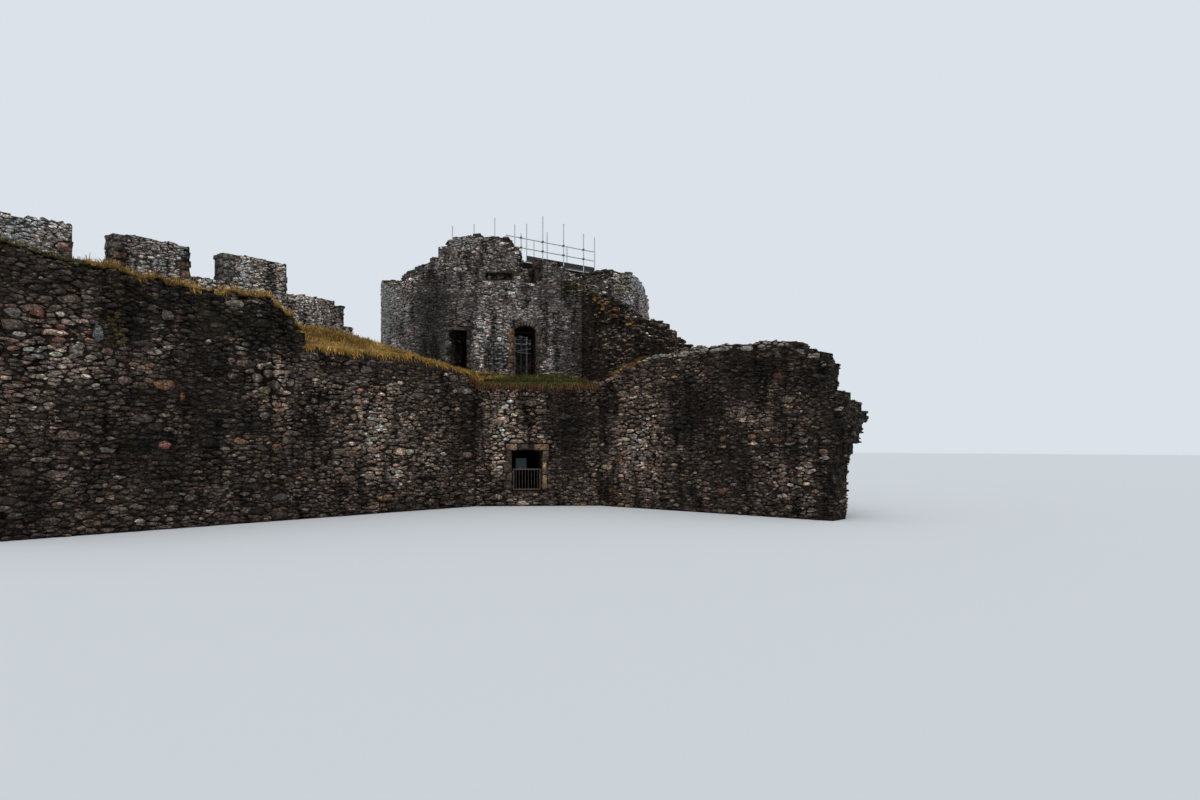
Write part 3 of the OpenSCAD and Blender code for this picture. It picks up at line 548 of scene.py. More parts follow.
def fieldstones(spans, length, flat, stray, boulders, rng):
    """Middles (n, 2) and outlines (n, SIDES, 2) of stones that fill a face, like pebbles in a net.

    Small ones are length long on average and flat times as long as high, and the share
    boulders are about three times that size. Stray is how far they lie off level beds, as
    a share of their height.
    """
    size = np.array((length, length / flat))
    low = np.array([s[0] for s in spans])
    shape = tuple(int((s[1] - s[0]) / step) + 7 for s, step in zip(spans[::-1], size[::-1]))
    row, column = np.mgrid[0 : shape[0], 0 : shape[1]]
    across = column - 3 + rng.uniform(0, 1, (shape[0], 1)) + rng.normal(0, 0.3, shape)
    middle = np.stack([across, row - 3 + rng.normal(0, stray, shape)], axis=-1)
    boulder = rng.uniform(0, 1, shape) < boulders
    weight = np.exp(rng.normal(0, 0.7, shape)) * np.where(boulder, 2.2, 1.0)
    there = rng.uniform(0, 1, shape) > 0.05
    shifts = [(i, j) for i in range(-3, 4) for j in range(-3, 4) if (i, j) != (0, 0)]

    def moved(values, shift):
        return np.roll(values, shift, axis=(0, 1))

    for shift in shifts:
        near = np.linalg.norm(moved(middle, shift) - middle, axis=-1) < 1.4
        there &= boulder | ~(moved(boulder, shift) & near)
    angle = np.arange(4 * SIDES) * 2 * math.pi / (4 * SIDES) + np.zeros((*shape, 1))
    way = np.stack([np.cos(angle), np.sin(angle)], axis=-1)
    reach = np.where(boulder, 1.6, 0.8)[..., None] * np.ones(angle.shape)
    for shift in shifts:
        gap = moved(middle, shift) - middle
        along = (way * gap[..., None, :]).sum(axis=-1)
        share = weight / (weight + moved(weight, shift)) * (gap**2).sum(axis=-1)
        meets = (along > 0.05) & moved(there, shift)[..., None]
        reach = np.where(meets, np.minimum(reach, share[..., None] / np.maximum(along, 0.05)), reach)
    rims = main_corners((way * reach[..., None])[there])
    return low + middle[there] * size, rims * rng.uniform(0.94, 1.03, (*rims.shape[:2], 1)) * size


def main_corners(outlines):
    """Leaves of each outline the SIDES corners that shape it most."""
    while outlines.shape[1] > SIDES:
        back, ahead = (np.roll(outlines, step, axis=1) - outlines for step in (1, -1))
        least = np.abs(back[..., 0] * ahead[..., 1] - back[..., 1] * ahead[..., 0]).argmin(axis=1)
        stays = np.arange(outlines.shape[1]) != least[:, None]
        outlines = outlines[stays].reshape(len(outlines), -1, 2)
    return outlines


def sounded(depth, spans, points):
    """What a survey found at points (across, up), nan outside it."""
    i, j = (np.floor((points[..., k] - spans[k][0]) / CELL).astype(int) for k in (0, 1))
    inside = (i >= 0) & (i < depth.shape[0]) & (j >= 0) & (j < depth.shape[1])
    found = np.full(points.shape[:-1], np.nan)
    found[inside] = depth[i[inside], j[inside]]
    return found


def fitted(middles, rims, depth, spans, level):
    """Pulls outlines in until they lie on masonry. Returns which can stay, the outlines and their levels."""
    out = sounded(depth, spans, middles) if level is None else np.full(len(middles), level)
    stays = np.abs(sounded(depth, spans, middles) - out) < FLUSH
    pull = np.zeros(rims.shape[:2])
    for share in (1, 0.85, 0.7, 0.55, 0.4):
        fits = np.abs(sounded(depth, spans, middles[:, None] + share * rims) - out[:, None]) < FLUSH
        pull = np.where((pull == 0) & fits, share, pull)
    stays &= pull.mean(axis=1) > 0.5
    return stays, middles[:, None] + rims * np.maximum(pull, 0.1)[..., None], out


def dressed(outlines, out, proud, rng, sink=0.012, soft=(0.06, 0.22), bow=0.12):
    """Foot, face and crown of each stone as (across, up, out) points, (n, 2 * SIDES + 1, 3).

    Sink is how deep its foot lies, soft how much of it its sloping arris takes up, from and to,
    and bow how far its middle swells, as a share of its half-size.
    """
    n = len(outlines)
    low, high = outlines.min(axis=1), outlines.max(axis=1)
    centre, half = (low + high) / 2, np.maximum((high - low) / 2, 0.01)
    thin = half.min(axis=1)
    arris = np.clip(rng.uniform(*soft, n) * thin, 0.004, 0.06)
    away = outlines - centre[:, None]
    lean = np.clip((away * rng.normal(0, 0.3, (n, 1, 2))).sum(axis=2), -0.035, 0.035)
    face = out[:, None] + np.maximum(proud[:, None] + lean + rng.normal(0, 0.004, lean.shape), 0.004)
    points = np.empty((n, 2 * SIDES + 1, 3))
    points[:, :SIDES, :2] = outlines
    points[:, :SIDES, 2] = out[:, None] - sink
    points[:, SIDES:-1, :2] = centre[:, None] + away * (1 - arris[:, None] / half)[:, None]
    points[:, SIDES:-1, 2] = face
    points[:, -1, :2] = centre + rng.uniform(-0.45, 0.45, (n, 2)) * half
    points[:, -1, 2] = face.mean(axis=1) + rng.uniform(0, bow, n) * np.minimum(thin, 0.12)
    return points


def stone_mesh(name, *parts, slot="rubble_masonry"):
    """One mesh of all the stones (n, 2 * SIDES + 1, 3) of its parts, with the tint of each as its colour."""
    stones, tints = (np.concatenate(values) for values in zip(*parts))
    count, corners = stones.shape[:2]
    stones[..., 2] = np.maximum(stones[..., 2], 0.0)
    edges = [(i, (i + 1) % SIDES) for i in range(SIDES)]
    faces = [(i, j, j + SIDES, i + SIDES) for i, j in edges]
    faces += [(i + SIDES, j + SIDES, 2 * SIDES) for i, j in edges]
    faces = [[first + k for k in face] for first in range(0, count * corners, corners) for face in faces]
    add_piece(name, stones, faces, RUBBLE, slot, np.repeat(tints, corners, axis=0), smooth=True)


def new_object(name, data, way=None):
    """Puts an object in the scene, turned so that it looks or shines this way, if one is given."""
    thing = bpy.data.objects.new(name, data)
    bpy.context.scene.collection.objects.link(thing)
    if way:
        thing.rotation_euler = Vector(way).to_track_quat("-Z", "Y").to_euler()
    return thing


def add_piece(name, points, faces, material, slot, tints=None, smooth=False):
    """Makes a mesh with its finish, and with tints as its colours, and makes it ride on the keep."""
    mesh = bpy.data.meshes.new(name)
    mesh.from_pydata(points.reshape(-1, 3).tolist(), [], faces, shade_flat=not smooth)
    if tints is not None:
        colour = mesh.attributes.new("tint", "FLOAT_COLOR", "POINT")
        colour.data.foreach_set("color", tints.astype(np.float32).ravel())
    mesh.materials.append(material)
    piece = new_object(name, mesh)
    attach(piece, "keep")


def lay(place, spans, rng, start=3.0, length=0.19, flat=2.2, stray=0.25, boulders=0.02, joint=0.006,
        proud=(0.0, 0.05), level=0.0, reserved=(), only=None, crest=1.0, room=1.0, **look):
    """Lays fieldstones on one face. Returns the placed stones and their tints.

    Start is how far outside the face the survey begins, stones stand proud by so much, from and to,
    and none by more than room. Reserved boxes stay free. Crest is the factor on the colour of the top
    course.
    """
    depth = survey(place, spans, start, only)
    for box in reserved:
        i0, i1, j0, j1 = (max(int(round((v - spans[k // 2][0]) / CELL)), 0) for k, v in enumerate(box))
        depth[i0:i1, j0:j1] = np.nan
    middles, rims = fieldstones(spans, length, flat, stray, boulders, rng)
    far = np.linalg.norm(rims, axis=2, keepdims=True)
    rims = rims * np.maximum(1 - joint * rng.uniform(0.3, 0.9, far.shape) / np.maximum(far, 0.01), 0.4)
    stays, outlines, out = fitted(middles, rims, depth, spans, level)
    outlines, out = outlines[stays], out[stays]
    middle = outlines.mean(axis=1)
    bulge = 0.035 * np.maximum(drift(place(middle[:, 0], middle[:, 1], out), 0.9, 11), 0)
    points = dressed(outlines, out, rng.uniform(*proud, len(out)) + bulge, rng)
    points[..., 2] = np.minimum(points[..., 2], out[:, None] + room)
    stones = place(*np.moveaxis(points, -1, 0))
    tints = tinted(stones[:, -1], rng, **look)
    # The top course has no masonry 16 cm over its middle
    top = np.isnan(sounded(depth, spans, middle + (0, 0.16)))
    tints[top, :3] *= crest
    tints[top, 3] += 0.08 * (crest - 1)
    return stones, tints


def set_stones(place, stones, rng):
    """Squared stones in places of their own: (corners (4, 2), colour, how far it stands out) each."""
    quads = np.array([q for q, colour, proud in stones], float) + rng.normal(0, 0.006, (len(stones), 4, 2))
    outline = []
    for side in (np.roll(quads, 1, axis=1) - quads, np.roll(quads, -1, axis=1) - quads):
        cut = rng.uniform(0.01, 0.03, (len(quads), 4)) / np.linalg.norm(side, axis=2)
        outline.append(quads + side * np.minimum(cut, 0.42)[..., None])
    # One corner of the eight is left out, so that every outline has SIDES of them
    outlines = np.stack(outline, axis=2).reshape(len(quads), 8, 2)[:, :SIDES]
    proud = np.array([proud for q, colour, proud in stones])
    points = dressed(outlines, np.zeros(len(quads)), proud, rng, sink=0.03, soft=(0.08, 0.2), bow=0.1)
    tints = np.array([[*linear(colour)[:3], 0.14] for q, colour, proud in stones])
    tints[:, :3] *= np.exp(rng.normal(0, 0.12, (len(quads), 1)))
    return place(*np.moveaxis(points, -1, 0)), tints


def rounded(middles, halves, rng):
    """Rounded outlines round middles (n, 2), with half-sizes (n, 2)."""
    angle = (np.arange(SIDES) + rng.uniform(-0.3, 0.3, (len(middles), SIDES))) * 2 * math.pi / SIDES
    reach = rng.uniform(0.8, 1.15, angle.shape)[..., None] * np.stack([np.cos(angle), np.sin(angle)], axis=2)
    return middles[:, None] + reach * halves[:, None]


def set_boulders(place, rows, rng):
    """Large stones in places of their own: (across, up, length, height, colour) each."""
    sizes = np.array([row[:4] for row in rows])
    outlines = rounded(sizes[:, :2], sizes[:, 2:] / 2, rng)
    proud = rng.uniform(0.03, 0.06, len(rows))
    points = dressed(outlines, np.zeros(len(rows)), proud, rng, sink=0.03, soft=(0.1, 0.3), bow=0.15)
    tints = np.array([[*linear(row[4])[:3], 0.2] for row in rows])
    # They give way a little to the mean of all kinds
    tints[:, :3] += 0.35 * (1.6 * KIND_SHARES @ KIND_COLOURS - tints[:, :3])
    return place(*np.moveaxis(points, -1, 0)), tints


def kept_free(rows):
    """The boxes that large stones keep free, as lay takes them: a little smaller than the stones."""
    return [
        (a - 0.45 * wide, a + 0.45 * wide, b - 0.4 * tall, b + 0.4 * tall)
        for a, b, wide, tall, colour in rows
    ]


def block(a0, a1, b0, b1, tilt=0.0):
    """Corners of an upright block, one end tilt metres higher than the other."""
    return [(a0, b0), (a1, b0 + tilt), (a1, b1 + tilt), (a0, b1)]


def broken(spot, out):
    """True where a point lies on broken masonry and not on a face that is laid with facing stones."""
    x, y, z = spot.T
    r = np.hypot(x, y)
    radial = np.abs((x * out[:, 0] + y * out[:, 1]) / np.maximum(r, 0.1)) > 0.95
    faced = (np.abs(r - KEEP_R) < FLUSH) | (np.abs(r - UPPER_INNER_R) < FLUSH) | (r < LOWER_INNER_R + FLUSH)
    faced &= radial
    # Flat faces: which way they look, along x or y, and where they stand
    for part, sign, level in (
        (0, 1, WEST_FACE),
        (0, 1, PARAPET_FACE),
        (0, -1, WEST_OUTER),
        (1, -1, -WEST_LEN),
        (1, -1, NORTH_FACE),
        (1, 1, NORTH_OUTER),
    ):
        faced |= (np.abs(spot[:, part] - level) < 0.01) & (out[:, part] * sign > 0.9)
    faced |= (np.abs((x - y) / math.sqrt(2) - CORNER_REACH) < 0.01) & (out[:, 0] > 0.6)
    faced |= (x < 2.2) & (y < -MERLON_FIRST + 0.1) & (z > SILL_Z) & (np.abs(out[:, 1]) > 0.9)
    for direction, width in ((DOOR_DIR, DOOR_W), (DOOR_DIR, UPPER_DOOR_W), (WALK_DOOR_DIR, WALK_DOOR_W)):
        beside = -x * math.sin(direction) + y * math.cos(direction)
        ahead = x * math.cos(direction) + y * math.sin(direction)
        faced |= (np.abs(np.abs(beside) - width / 2) < 0.01) & (ahead > 2.5) & (ahead < 8) & (z < 9.2)
    # Nothing lies loose at the foot of the walls
    return ~faced & (z > 0.1)


def looks_out(spot, out):
    """True where a point, looking this way, is on the outside of the masonry and sees the open before it."""
    clear = np.ones(len(spot), bool)
    for k, (p, q) in enumerate(zip((spot + 0.02 * out).tolist(), out.tolist())):
        foot, face_normal = masonry.find_nearest(p)[:2]
        if (Vector(p) - foot).dot(face_normal) < 0:
            clear[k] = False
            continue
        hit, face_normal, _, distance = masonry.ray_cast(p, q)
        if hit is not None:
            inside = face_normal[0] * q[0] + face_normal[1] * q[1] + face_normal[2] * q[2] > 0
            clear[k] = not inside and distance > 0.12
    return clear


def rubble(rng, density=44, size=(0.05, 0.12), proud=(0.0, 0.06), tone=0.9):
    """Core stones left sticking out of the upright faces where masonry has broken away.

    Density is the number of stones on a square metre, and size their half-size from and to.
    """
    first, second, third = np.moveaxis(masonry_corners, 1, 0)
    edge = np.cross(second - first, third - first)
    area = np.linalg.norm(edge, axis=1) / 2
    normal = edge / np.maximum(2 * area, 1e-9)[:, None]
    stone = np.array([owner in MASONRY and owner not in DRESSED_NODES for owner in masonry_owner])
    usable = (np.abs(normal[:, 2]) < 0.35) & stone & (area > 1e-4)
    pick = np.repeat(np.arange(len(area)), rng.poisson(np.where(usable, area * density, 0)))
    u, v = rng.uniform(0, 1, (2, len(pick)))
    u, v = np.where(u + v > 1, 1 - u, u)[:, None], np.where(u + v > 1, 1 - v, v)[:, None]
    spot = first[pick] + u * (second[pick] - first[pick]) + v * (third[pick] - first[pick])
    out = normal[pick]
    for test in (broken, looks_out):
        passed = test(spot, out)
        spot, out = spot[passed], out[passed]
    n = len(spot)
    across = np.cross(UP, out)
    across /= np.linalg.norm(across, axis=1)[:, None]
    up = np.cross(out, across)
    half = rng.uniform(*size, n)
    outlines = rounded(np.zeros((n, 2)), np.stack([half, half * rng.uniform(0.35, 0.7, n)], axis=1), rng)
    points = dressed(outlines, np.zeros(n), rng.uniform(*proud, n), rng, sink=0.12, soft=(0.1, 0.35), bow=0.3)
    stones = spot[:, None] + points @ np.stack([across, up, out], axis=1)
    return stones, tinted(stones[:, -1], rng, tone)


def arc(degrees):
    """Place along the outer face of the keep, as the face of the keep counts it."""
    return math.radians(degrees) * KEEP_R


# How the stones in front are laid, the larger ones behind, and the loose ones on wall heads
KEEP_STONES = dict(length=0.17, flat=2.6, stray=0.2, boulders=0.008, joint=0.004, proud=(0, 0.03), crest=1.7)
WEST_STONES = dict(length=0.2, stray=0.28, proud=(0.0, 0.07), tone=1.13)
PARAPET_STONES = dict(start=2.5, length=0.15, stray=0.2, boulders=0, joint=0.004, proud=(0, 0.012), crest=1.4)
NORTH_STONES = dict(length=0.2, flat=2.4, stray=0.22, boulders=0.015, crest=4.5, tone=0.95)
COARSE = dict(length=0.3, flat=2.0, joint=0.008)
LOOSE = dict(length=0.27, flat=1.2, proud=(0.0, 0.03), level=None, tone=1.6)
# Colours of the keep, pale from rain and lichen and partly from painted light, as it stands high where more
# light falls, and of the parapet, which rain and lichen have made pale
KEEP_LOOK = dict(tone=4.0, calm=0.6, hue=(0.92, 1.0, 1.1), uneven=0.3)
PARAPET_LOOK = dict(tone=6.6, calm=0.8, hue=(0.93, 1.0, 1.07), uneven=0.22)
# Jambs of the upper door, from the bottom up: height, and the colours of the left and the right stone
UPPER_JAMBS = [
    (0.28, "#6b5443", "#5d5145"),
    (0.22, "#7a5b43", "#6f5f4c"),
    (0.31, "#8a6a50", "#5f564c"),
    (0.2, "#6e5747", "#7a6650"),
    (0.27, "#94694a", "#675c50"),
    (0.3, "#7d5f48", "#7b6a58"),
    (0.25, "#8f6d52", "#5f564c"),
]
# Colours of the stones in its arch, from left to right
ARCH_COLOURS = ["#6b6259", "#5d564f", "#746657"] * 3
# Jambs of the door to the west wall walk: foot, head, and the colour of the left stone
WALK_JAMBS = [
    (4.97, 5.3, "#63605b"),
    (5.31, 5.52, "#55514c"),
    (5.53, 5.85, "#6b6862"),
    (5.86, 6.1, "#58544f"),
    (6.11, 6.45, "#66625c"),
    (6.46, 6.83, "#5c5852"),
]
# Lintel stones of the entrance: start from its middle, length and colour
LINTELS = [(-0.79, 0.43, "#8f705f"), (-0.356, 0.56, "#4c423b"), (0.208, 0.62, "#957a5d")]
# Its jambs at the right and at the left: foot, head, width and colour
RIGHT_JAMBS = [
    (0.62, 1.18, 0.17, "#80694f"),
    (1.2, 1.34, 0.3, "#574a40"),
    (1.35, 1.68, 0.16, "#8b7358"),
    (1.69, 2.1, 0.25, "#5d5047"),
]
LEFT_JAMBS = [
    (0.6, 0.95, 0.3, "#4f453d"),
    (0.96, 1.25, 0.2, "#655649"),
    (1.26, 1.62, 0.32, "#554940"),
    (1.63, 2.1, 0.2, "#6c5b4c"),
]
# Heights of the stones at the ends of the merlons, from the bottom up: the quoins in front, the others within
QUOIN_HEIGHTS = (0.26, 0.22, 0.28, 0.2)
END_HEIGHTS = (0.24, 0.22, 0.25, 0.16)
# Quoins of each merlon from the bottom up, at its near end and its far end, from the merlon nearest the keep
QUOINS = [
    ((), ("#5f5b55", "#77736c", "#6a665f", "#716d66")),
    (("#87685c", "#7b5f52"), ("#7e6351", "#86695a", "#6b635a", "#6f6a63")),
    (("#6b625a", "#a07d70"), ()),
]

# Keep: its front, its side beyond the north curtain, and its back
rng = np.random.default_rng(20)
upper_door, walk_door = DOOR_DIR * KEEP_R, WALK_DOOR_DIR * KEEP_R
half_door, half_walk = UPPER_DOOR_W / 2, WALK_DOOR_W / 2
ARCH_R = (half_door**2 + ARCH_RISE**2) / (2 * ARCH_RISE)
arch_centre = UPPER_SPRING_Z + ARCH_RISE - ARCH_R
dressings, reserved = [], []


def dress(a0, a1, b0, b1, colour, proud=0.03, tilt=0.0):
    """Sets one squared stone and keeps the fieldstones out of its place."""
    dressings.append((block(a0, a1, b0, b1, tilt), colour, proud))
    reserved.append((a0, a1, b0, b1))


# Jambs of the upper door, wide and narrow in turn, and the ring of its arch
level = FIRST_FLOOR_Z + 0.02
for k, (height, left, right) in enumerate(UPPER_JAMBS):
    wide, narrow = (0.26, 0.15) if k % 2 else (0.15, 0.27)
    dress(upper_door - half_door - wide, upper_door - half_door + 0.01, level, level + height, left)
    dress(upper_door + half_door - 0.01, upper_door + half_door + narrow, level, level + height, right)
    level += height + 0.012
springing = math.asin(half_door / ARCH_R)
ring = np.linspace(-springing, springing, len(ARCH_COLOURS) + 1)
arch_out = ARCH_R + ARCH_T
for low, high, colour in zip(ring[:-1], ring[1:], ARCH_COLOURS):
    spots = ((ARCH_R, low + 0.01), (ARCH_R, high - 0.01), (arch_out, high - 0.008), (arch_out, low + 0.008))
    corners = [(upper_door + r * math.sin(t), arch_centre + r * math.cos(t)) for r, t in spots]
    dressings.append((corners, colour, 0.02))
reserved.append((upper_door - 0.52, upper_door + 0.52, UPPER_SPRING_Z, UPPER_SPRING_Z + 0.36))
# Slab and jambs of the door to the west wall walk
dress(walk_door - half_walk - 0.2, walk_door + half_walk + 0.24, 6.84, 6.96, "#67635e", 0.06, -0.03)
for low, high, colour in WALK_JAMBS:
    uneven = 0.1 * (high - low)
    dress(walk_door - half_walk - 0.2 + uneven, walk_door - half_walk + 0.01, low, high, colour)
    dress(walk_door + half_walk - 0.01, walk_door + half_walk + 0.12 + uneven, low, high, "#4f4942", 0.02)
# A pale stone over the recess
over_recess = arc(-51.5)
dress(over_recess - 0.24, over_recess + 0.2, 9.06, 9.15, "#8d8a82", 0.06)
front_spans = ((arc(-128), arc(-10)), (0.0, TOP_Z))
back_spans = ((arc(-325), arc(-128)), (0.0, TOP_Z))
keep_front = lay(around(KEEP_R), front_spans, rng, reserved=reserved, **KEEP_STONES, **KEEP_LOOK)
stone_mesh("keep_facing_stones", keep_front, set_stones(around(KEEP_R), dressings, rng))
recess_spans = ((arc(-56), arc(-43)), (8.7, 9.1))
recess_back = lay(around(KEEP_R), recess_spans, rng, level=-RECESS, tone=4.0)
side_spans = ((arc(-10), arc(35)), (0.0, TOP_Z))
keep_side = lay(around(KEEP_R), side_spans, rng, crest=2.0, **KEEP_LOOK)
stone_mesh("keep_side_stones", recess_back, keep_side)
stone_mesh("keep_back_stones", lay(around(KEEP_R), back_spans, rng, **KEEP_LOOK, **COARSE))
room_spans = ((0.0, 2 * math.pi * UPPER_INNER_R), (FIRST_FLOOR_Z, TOP_Z))
stone_mesh("keep_lining_stones", lay(around(UPPER_INNER_R, inward=True), room_spans, rng, 2.5, **COARSE))

# Corner wall with the entrance: three lintel stones and the jambs
corner_place = upright((CORNER_REACH / math.sqrt(2), -CORNER_REACH / math.sqrt(2), 0), (1, -1))
entrance = CORNER_REACH * math.tan(CORNER_TURN)
half_entrance = DOOR_W / 2 / math.cos(CORNER_TURN)
dressings, reserved = [], []
for a, length, colour in LINTELS:
    dress(entrance + a, entrance + a + length, DOOR_HEAD_Z, DOOR_HEAD_Z + LINTEL_H, colour, 0.05)
for low, high, wide, colour in RIGHT_JAMBS:
    dress(entrance + half_entrance - 0.005, entrance + half_entrance + wide, low, high, colour)
for low, high, wide, colour in LEFT_JAMBS:
    dress(entrance - half_entrance - wide, entrance - half_entrance + 0.005, low, high, colour)
reserved.append((entrance - 0.79, entrance + 0.83, DOOR_HEAD_Z - 2 * CELL, DOOR_HEAD_Z + LINTEL_H))
corner_spans = ((-1.31, 3.41), (0.0, 4.56))
corner_face = lay(corner_place, corner_spans, rng, start=2.0, reserved=reserved, tone=2.5, calm=0.6)


def reveals(direction, width, near, far, low, high, tone):
    """Stones on both sides of a passage through the wall, from near to far from the keep's axis."""
    ahead = np.array((math.cos(direction), math.sin(direction)))
    beside = np.array((-ahead[1], ahead[0]))
    parts = []
    for side in (1, -1):
        place = upright((*(beside * side * width / 2), 0), -beside * side)
        spans = ((near, far) if side > 0 else (-far, -near), (low, high))
        parts.append(lay(place, spans, rng, start=0.35, proud=(0.004, 0.02), room=GATE_ROOM, tone=tone))
    return parts


stone_mesh(
    "corner_wall_stones",
    corner_face,
    set_stones(corner_place, dressings, rng),
    *reveals(DOOR_DIR, DOOR_W, 3.0, 7.4, GROUND_FLOOR_Z, DOOR_HEAD_Z, 0.7),
    *reveals(DOOR_DIR, UPPER_DOOR_W, 3.2, 6.2, FIRST_FLOOR_Z, UPPER_SPRING_Z, 0.8),
    *reveals(WALK_DOOR_DIR, WALK_DOOR_W, 3.2, 6.2, FIRST_FLOOR_Z, FIRST_FLOOR_Z + 1.9, 1.3),
)

# West curtain: boulders, and the parapet of finer stone with squared quoins on its merlons
west_place = upright((WEST_FACE, 0, 0), (1, 0))
for name, low, high in (("west_wall_stones", -14.0, -4.0), ("west_end_stones", -WEST_LEN, -14.0)):
    large = [row for row in WEST_BOULDERS if low < row[0] < high]
    west_face = lay(west_place, ((low, high), (0.0, 7.3)), rng, reserved=kept_free(large), **WEST_STONES)
    stone_mesh(name, west_face, set_boulders(west_place, large, rng))
parapet_place = upright((PARAPET_FACE, 0, 0), (1, 0))
dressings, reserved, ends = [], [], []
for i, merlon in enumerate(QUOINS):
    near = -(MERLON_FIRST + i * MERLON_PITCH)
    for end, out, colours in ((near, -1, merlon[0]), (near - MERLON_L, 1, merlon[1])):
        level = SILL_Z - 0.1
        for k, (height, colour) in enumerate(zip(QUOIN_HEIGHTS, colours)):
            a0, a1 = sorted((end, end + out * (0.36 if k % 2 else 0.24)))
            dress(a0, a1, level, level + height, colour, 0.02)
            level += height + 0.01
        side = (-PARAPET_FACE, -WEST_OUTER) if out < 0 else (WEST_OUTER, PARAPET_FACE)
        blocks, low = [], SILL_Z
        for height in END_HEIGHTS:
            split = side[0] + PARAPET_T * rng.uniform(0.35, 0.65)
            blocks.append((block(side[0], split - 0.006, low, low + height), "#5d564f", 0.02))
            blocks.append((block(split + 0.006, side[1], low, low + height), "#6b655d", 0.02))
            low += height + 0.01
        ends.append(set_stones(upright((0, end, 0), (0, -out)), blocks, rng))
inner_spans, outer_spans = ((-WEST_LEN, -4.0), (5.0, 8.6)), ((4.0, WEST_LEN), (0.0, 8.6))
parapet_inner = lay(parapet_place, inner_spans, rng, reserved=reserved, **PARAPET_STONES, **PARAPET_LOOK)
parapet_outer = lay(upright((WEST_OUTER, 0, 0), (-1, 0)), outer_spans, rng, **COARSE)
stone_mesh("west_parapet_stones", parapet_inner, set_stones(parapet_place, dressings, rng), *ends)
end_spans = ((1.5, 4.3), (0.0, 8.6))
west_end = lay(upright((0, -WEST_LEN, 0), (0, -1)), end_spans, rng, start=2.0, **COARSE)
stone_mesh("west_outer_stones", parapet_outer, west_end)

# North curtain: flatter stones, more nearly in beds
north_spans = ((4.0, NORTH_LEN + 0.2), (0.0, 6.0))
north_place = upright((0, NORTH_FACE, 0), (0, -1))
north_face = lay(north_place, north_spans, rng, reserved=kept_free(NORTH_BOULDERS), **NORTH_STONES)
stone_mesh("north_wall_stones", north_face, set_boulders(north_place, NORTH_BOULDERS, rng))
back_wall = ((-NORTH_LEN - 0.2, -4.0), (0.0, 9.0))
stone_mesh("north_outer_stones", lay(upright((0, NORTH_OUTER, 0), (0, 1)), back_wall, rng, **COARSE))

# Wall heads and broken masonry
KEEP_HEAD = [name for name in MASONRY if name.startswith("upper_wall")]
NORTH_HEAD = ["north_inner_leaf", "north_core", "north_outer_leaf"]
WEST_HEAD = ["west_parapet", "merlons", "west_core", "west_inner_leaf"]
heads = [
    lay(from_above, spans, rng, ABOVE, only=only, **LOOSE)
    for spans, only in (
        (((-6.15, 6.15), (-6.15, 6.15)), KEEP_HEAD),
        (((5.0, 17.6), (-2.8, 0.0)), NORTH_HEAD),
        (((1.5, 4.3), (-WEST_LEN, -5.0)), WEST_HEAD),
    )
]
stone_mesh("wall_head_stones", *heads)
stone_mesh("core_rubble", rubble(rng), slot="rubble_core")


# Earth capping


def blurred(values, weights, reach):
    """Mean of the values within about reach cells, counting only those that have weight."""
    taps = np.exp(-((np.arange(-3 * reach, 3 * reach + 1) / reach) ** 2) / 2)

    def soften(field):
        for axis in (0, 1):
            lines = np.moveaxis(field, axis, 1)
            lines = [np.convolve(line, taps)[3 * reach : 3 * reach + len(line)] for line in lines]
            field = np.moveaxis(np.array(lines), 1, axis)
        return field

    return soften(values * weights) / np.maximum(soften(weights), 1e-6)


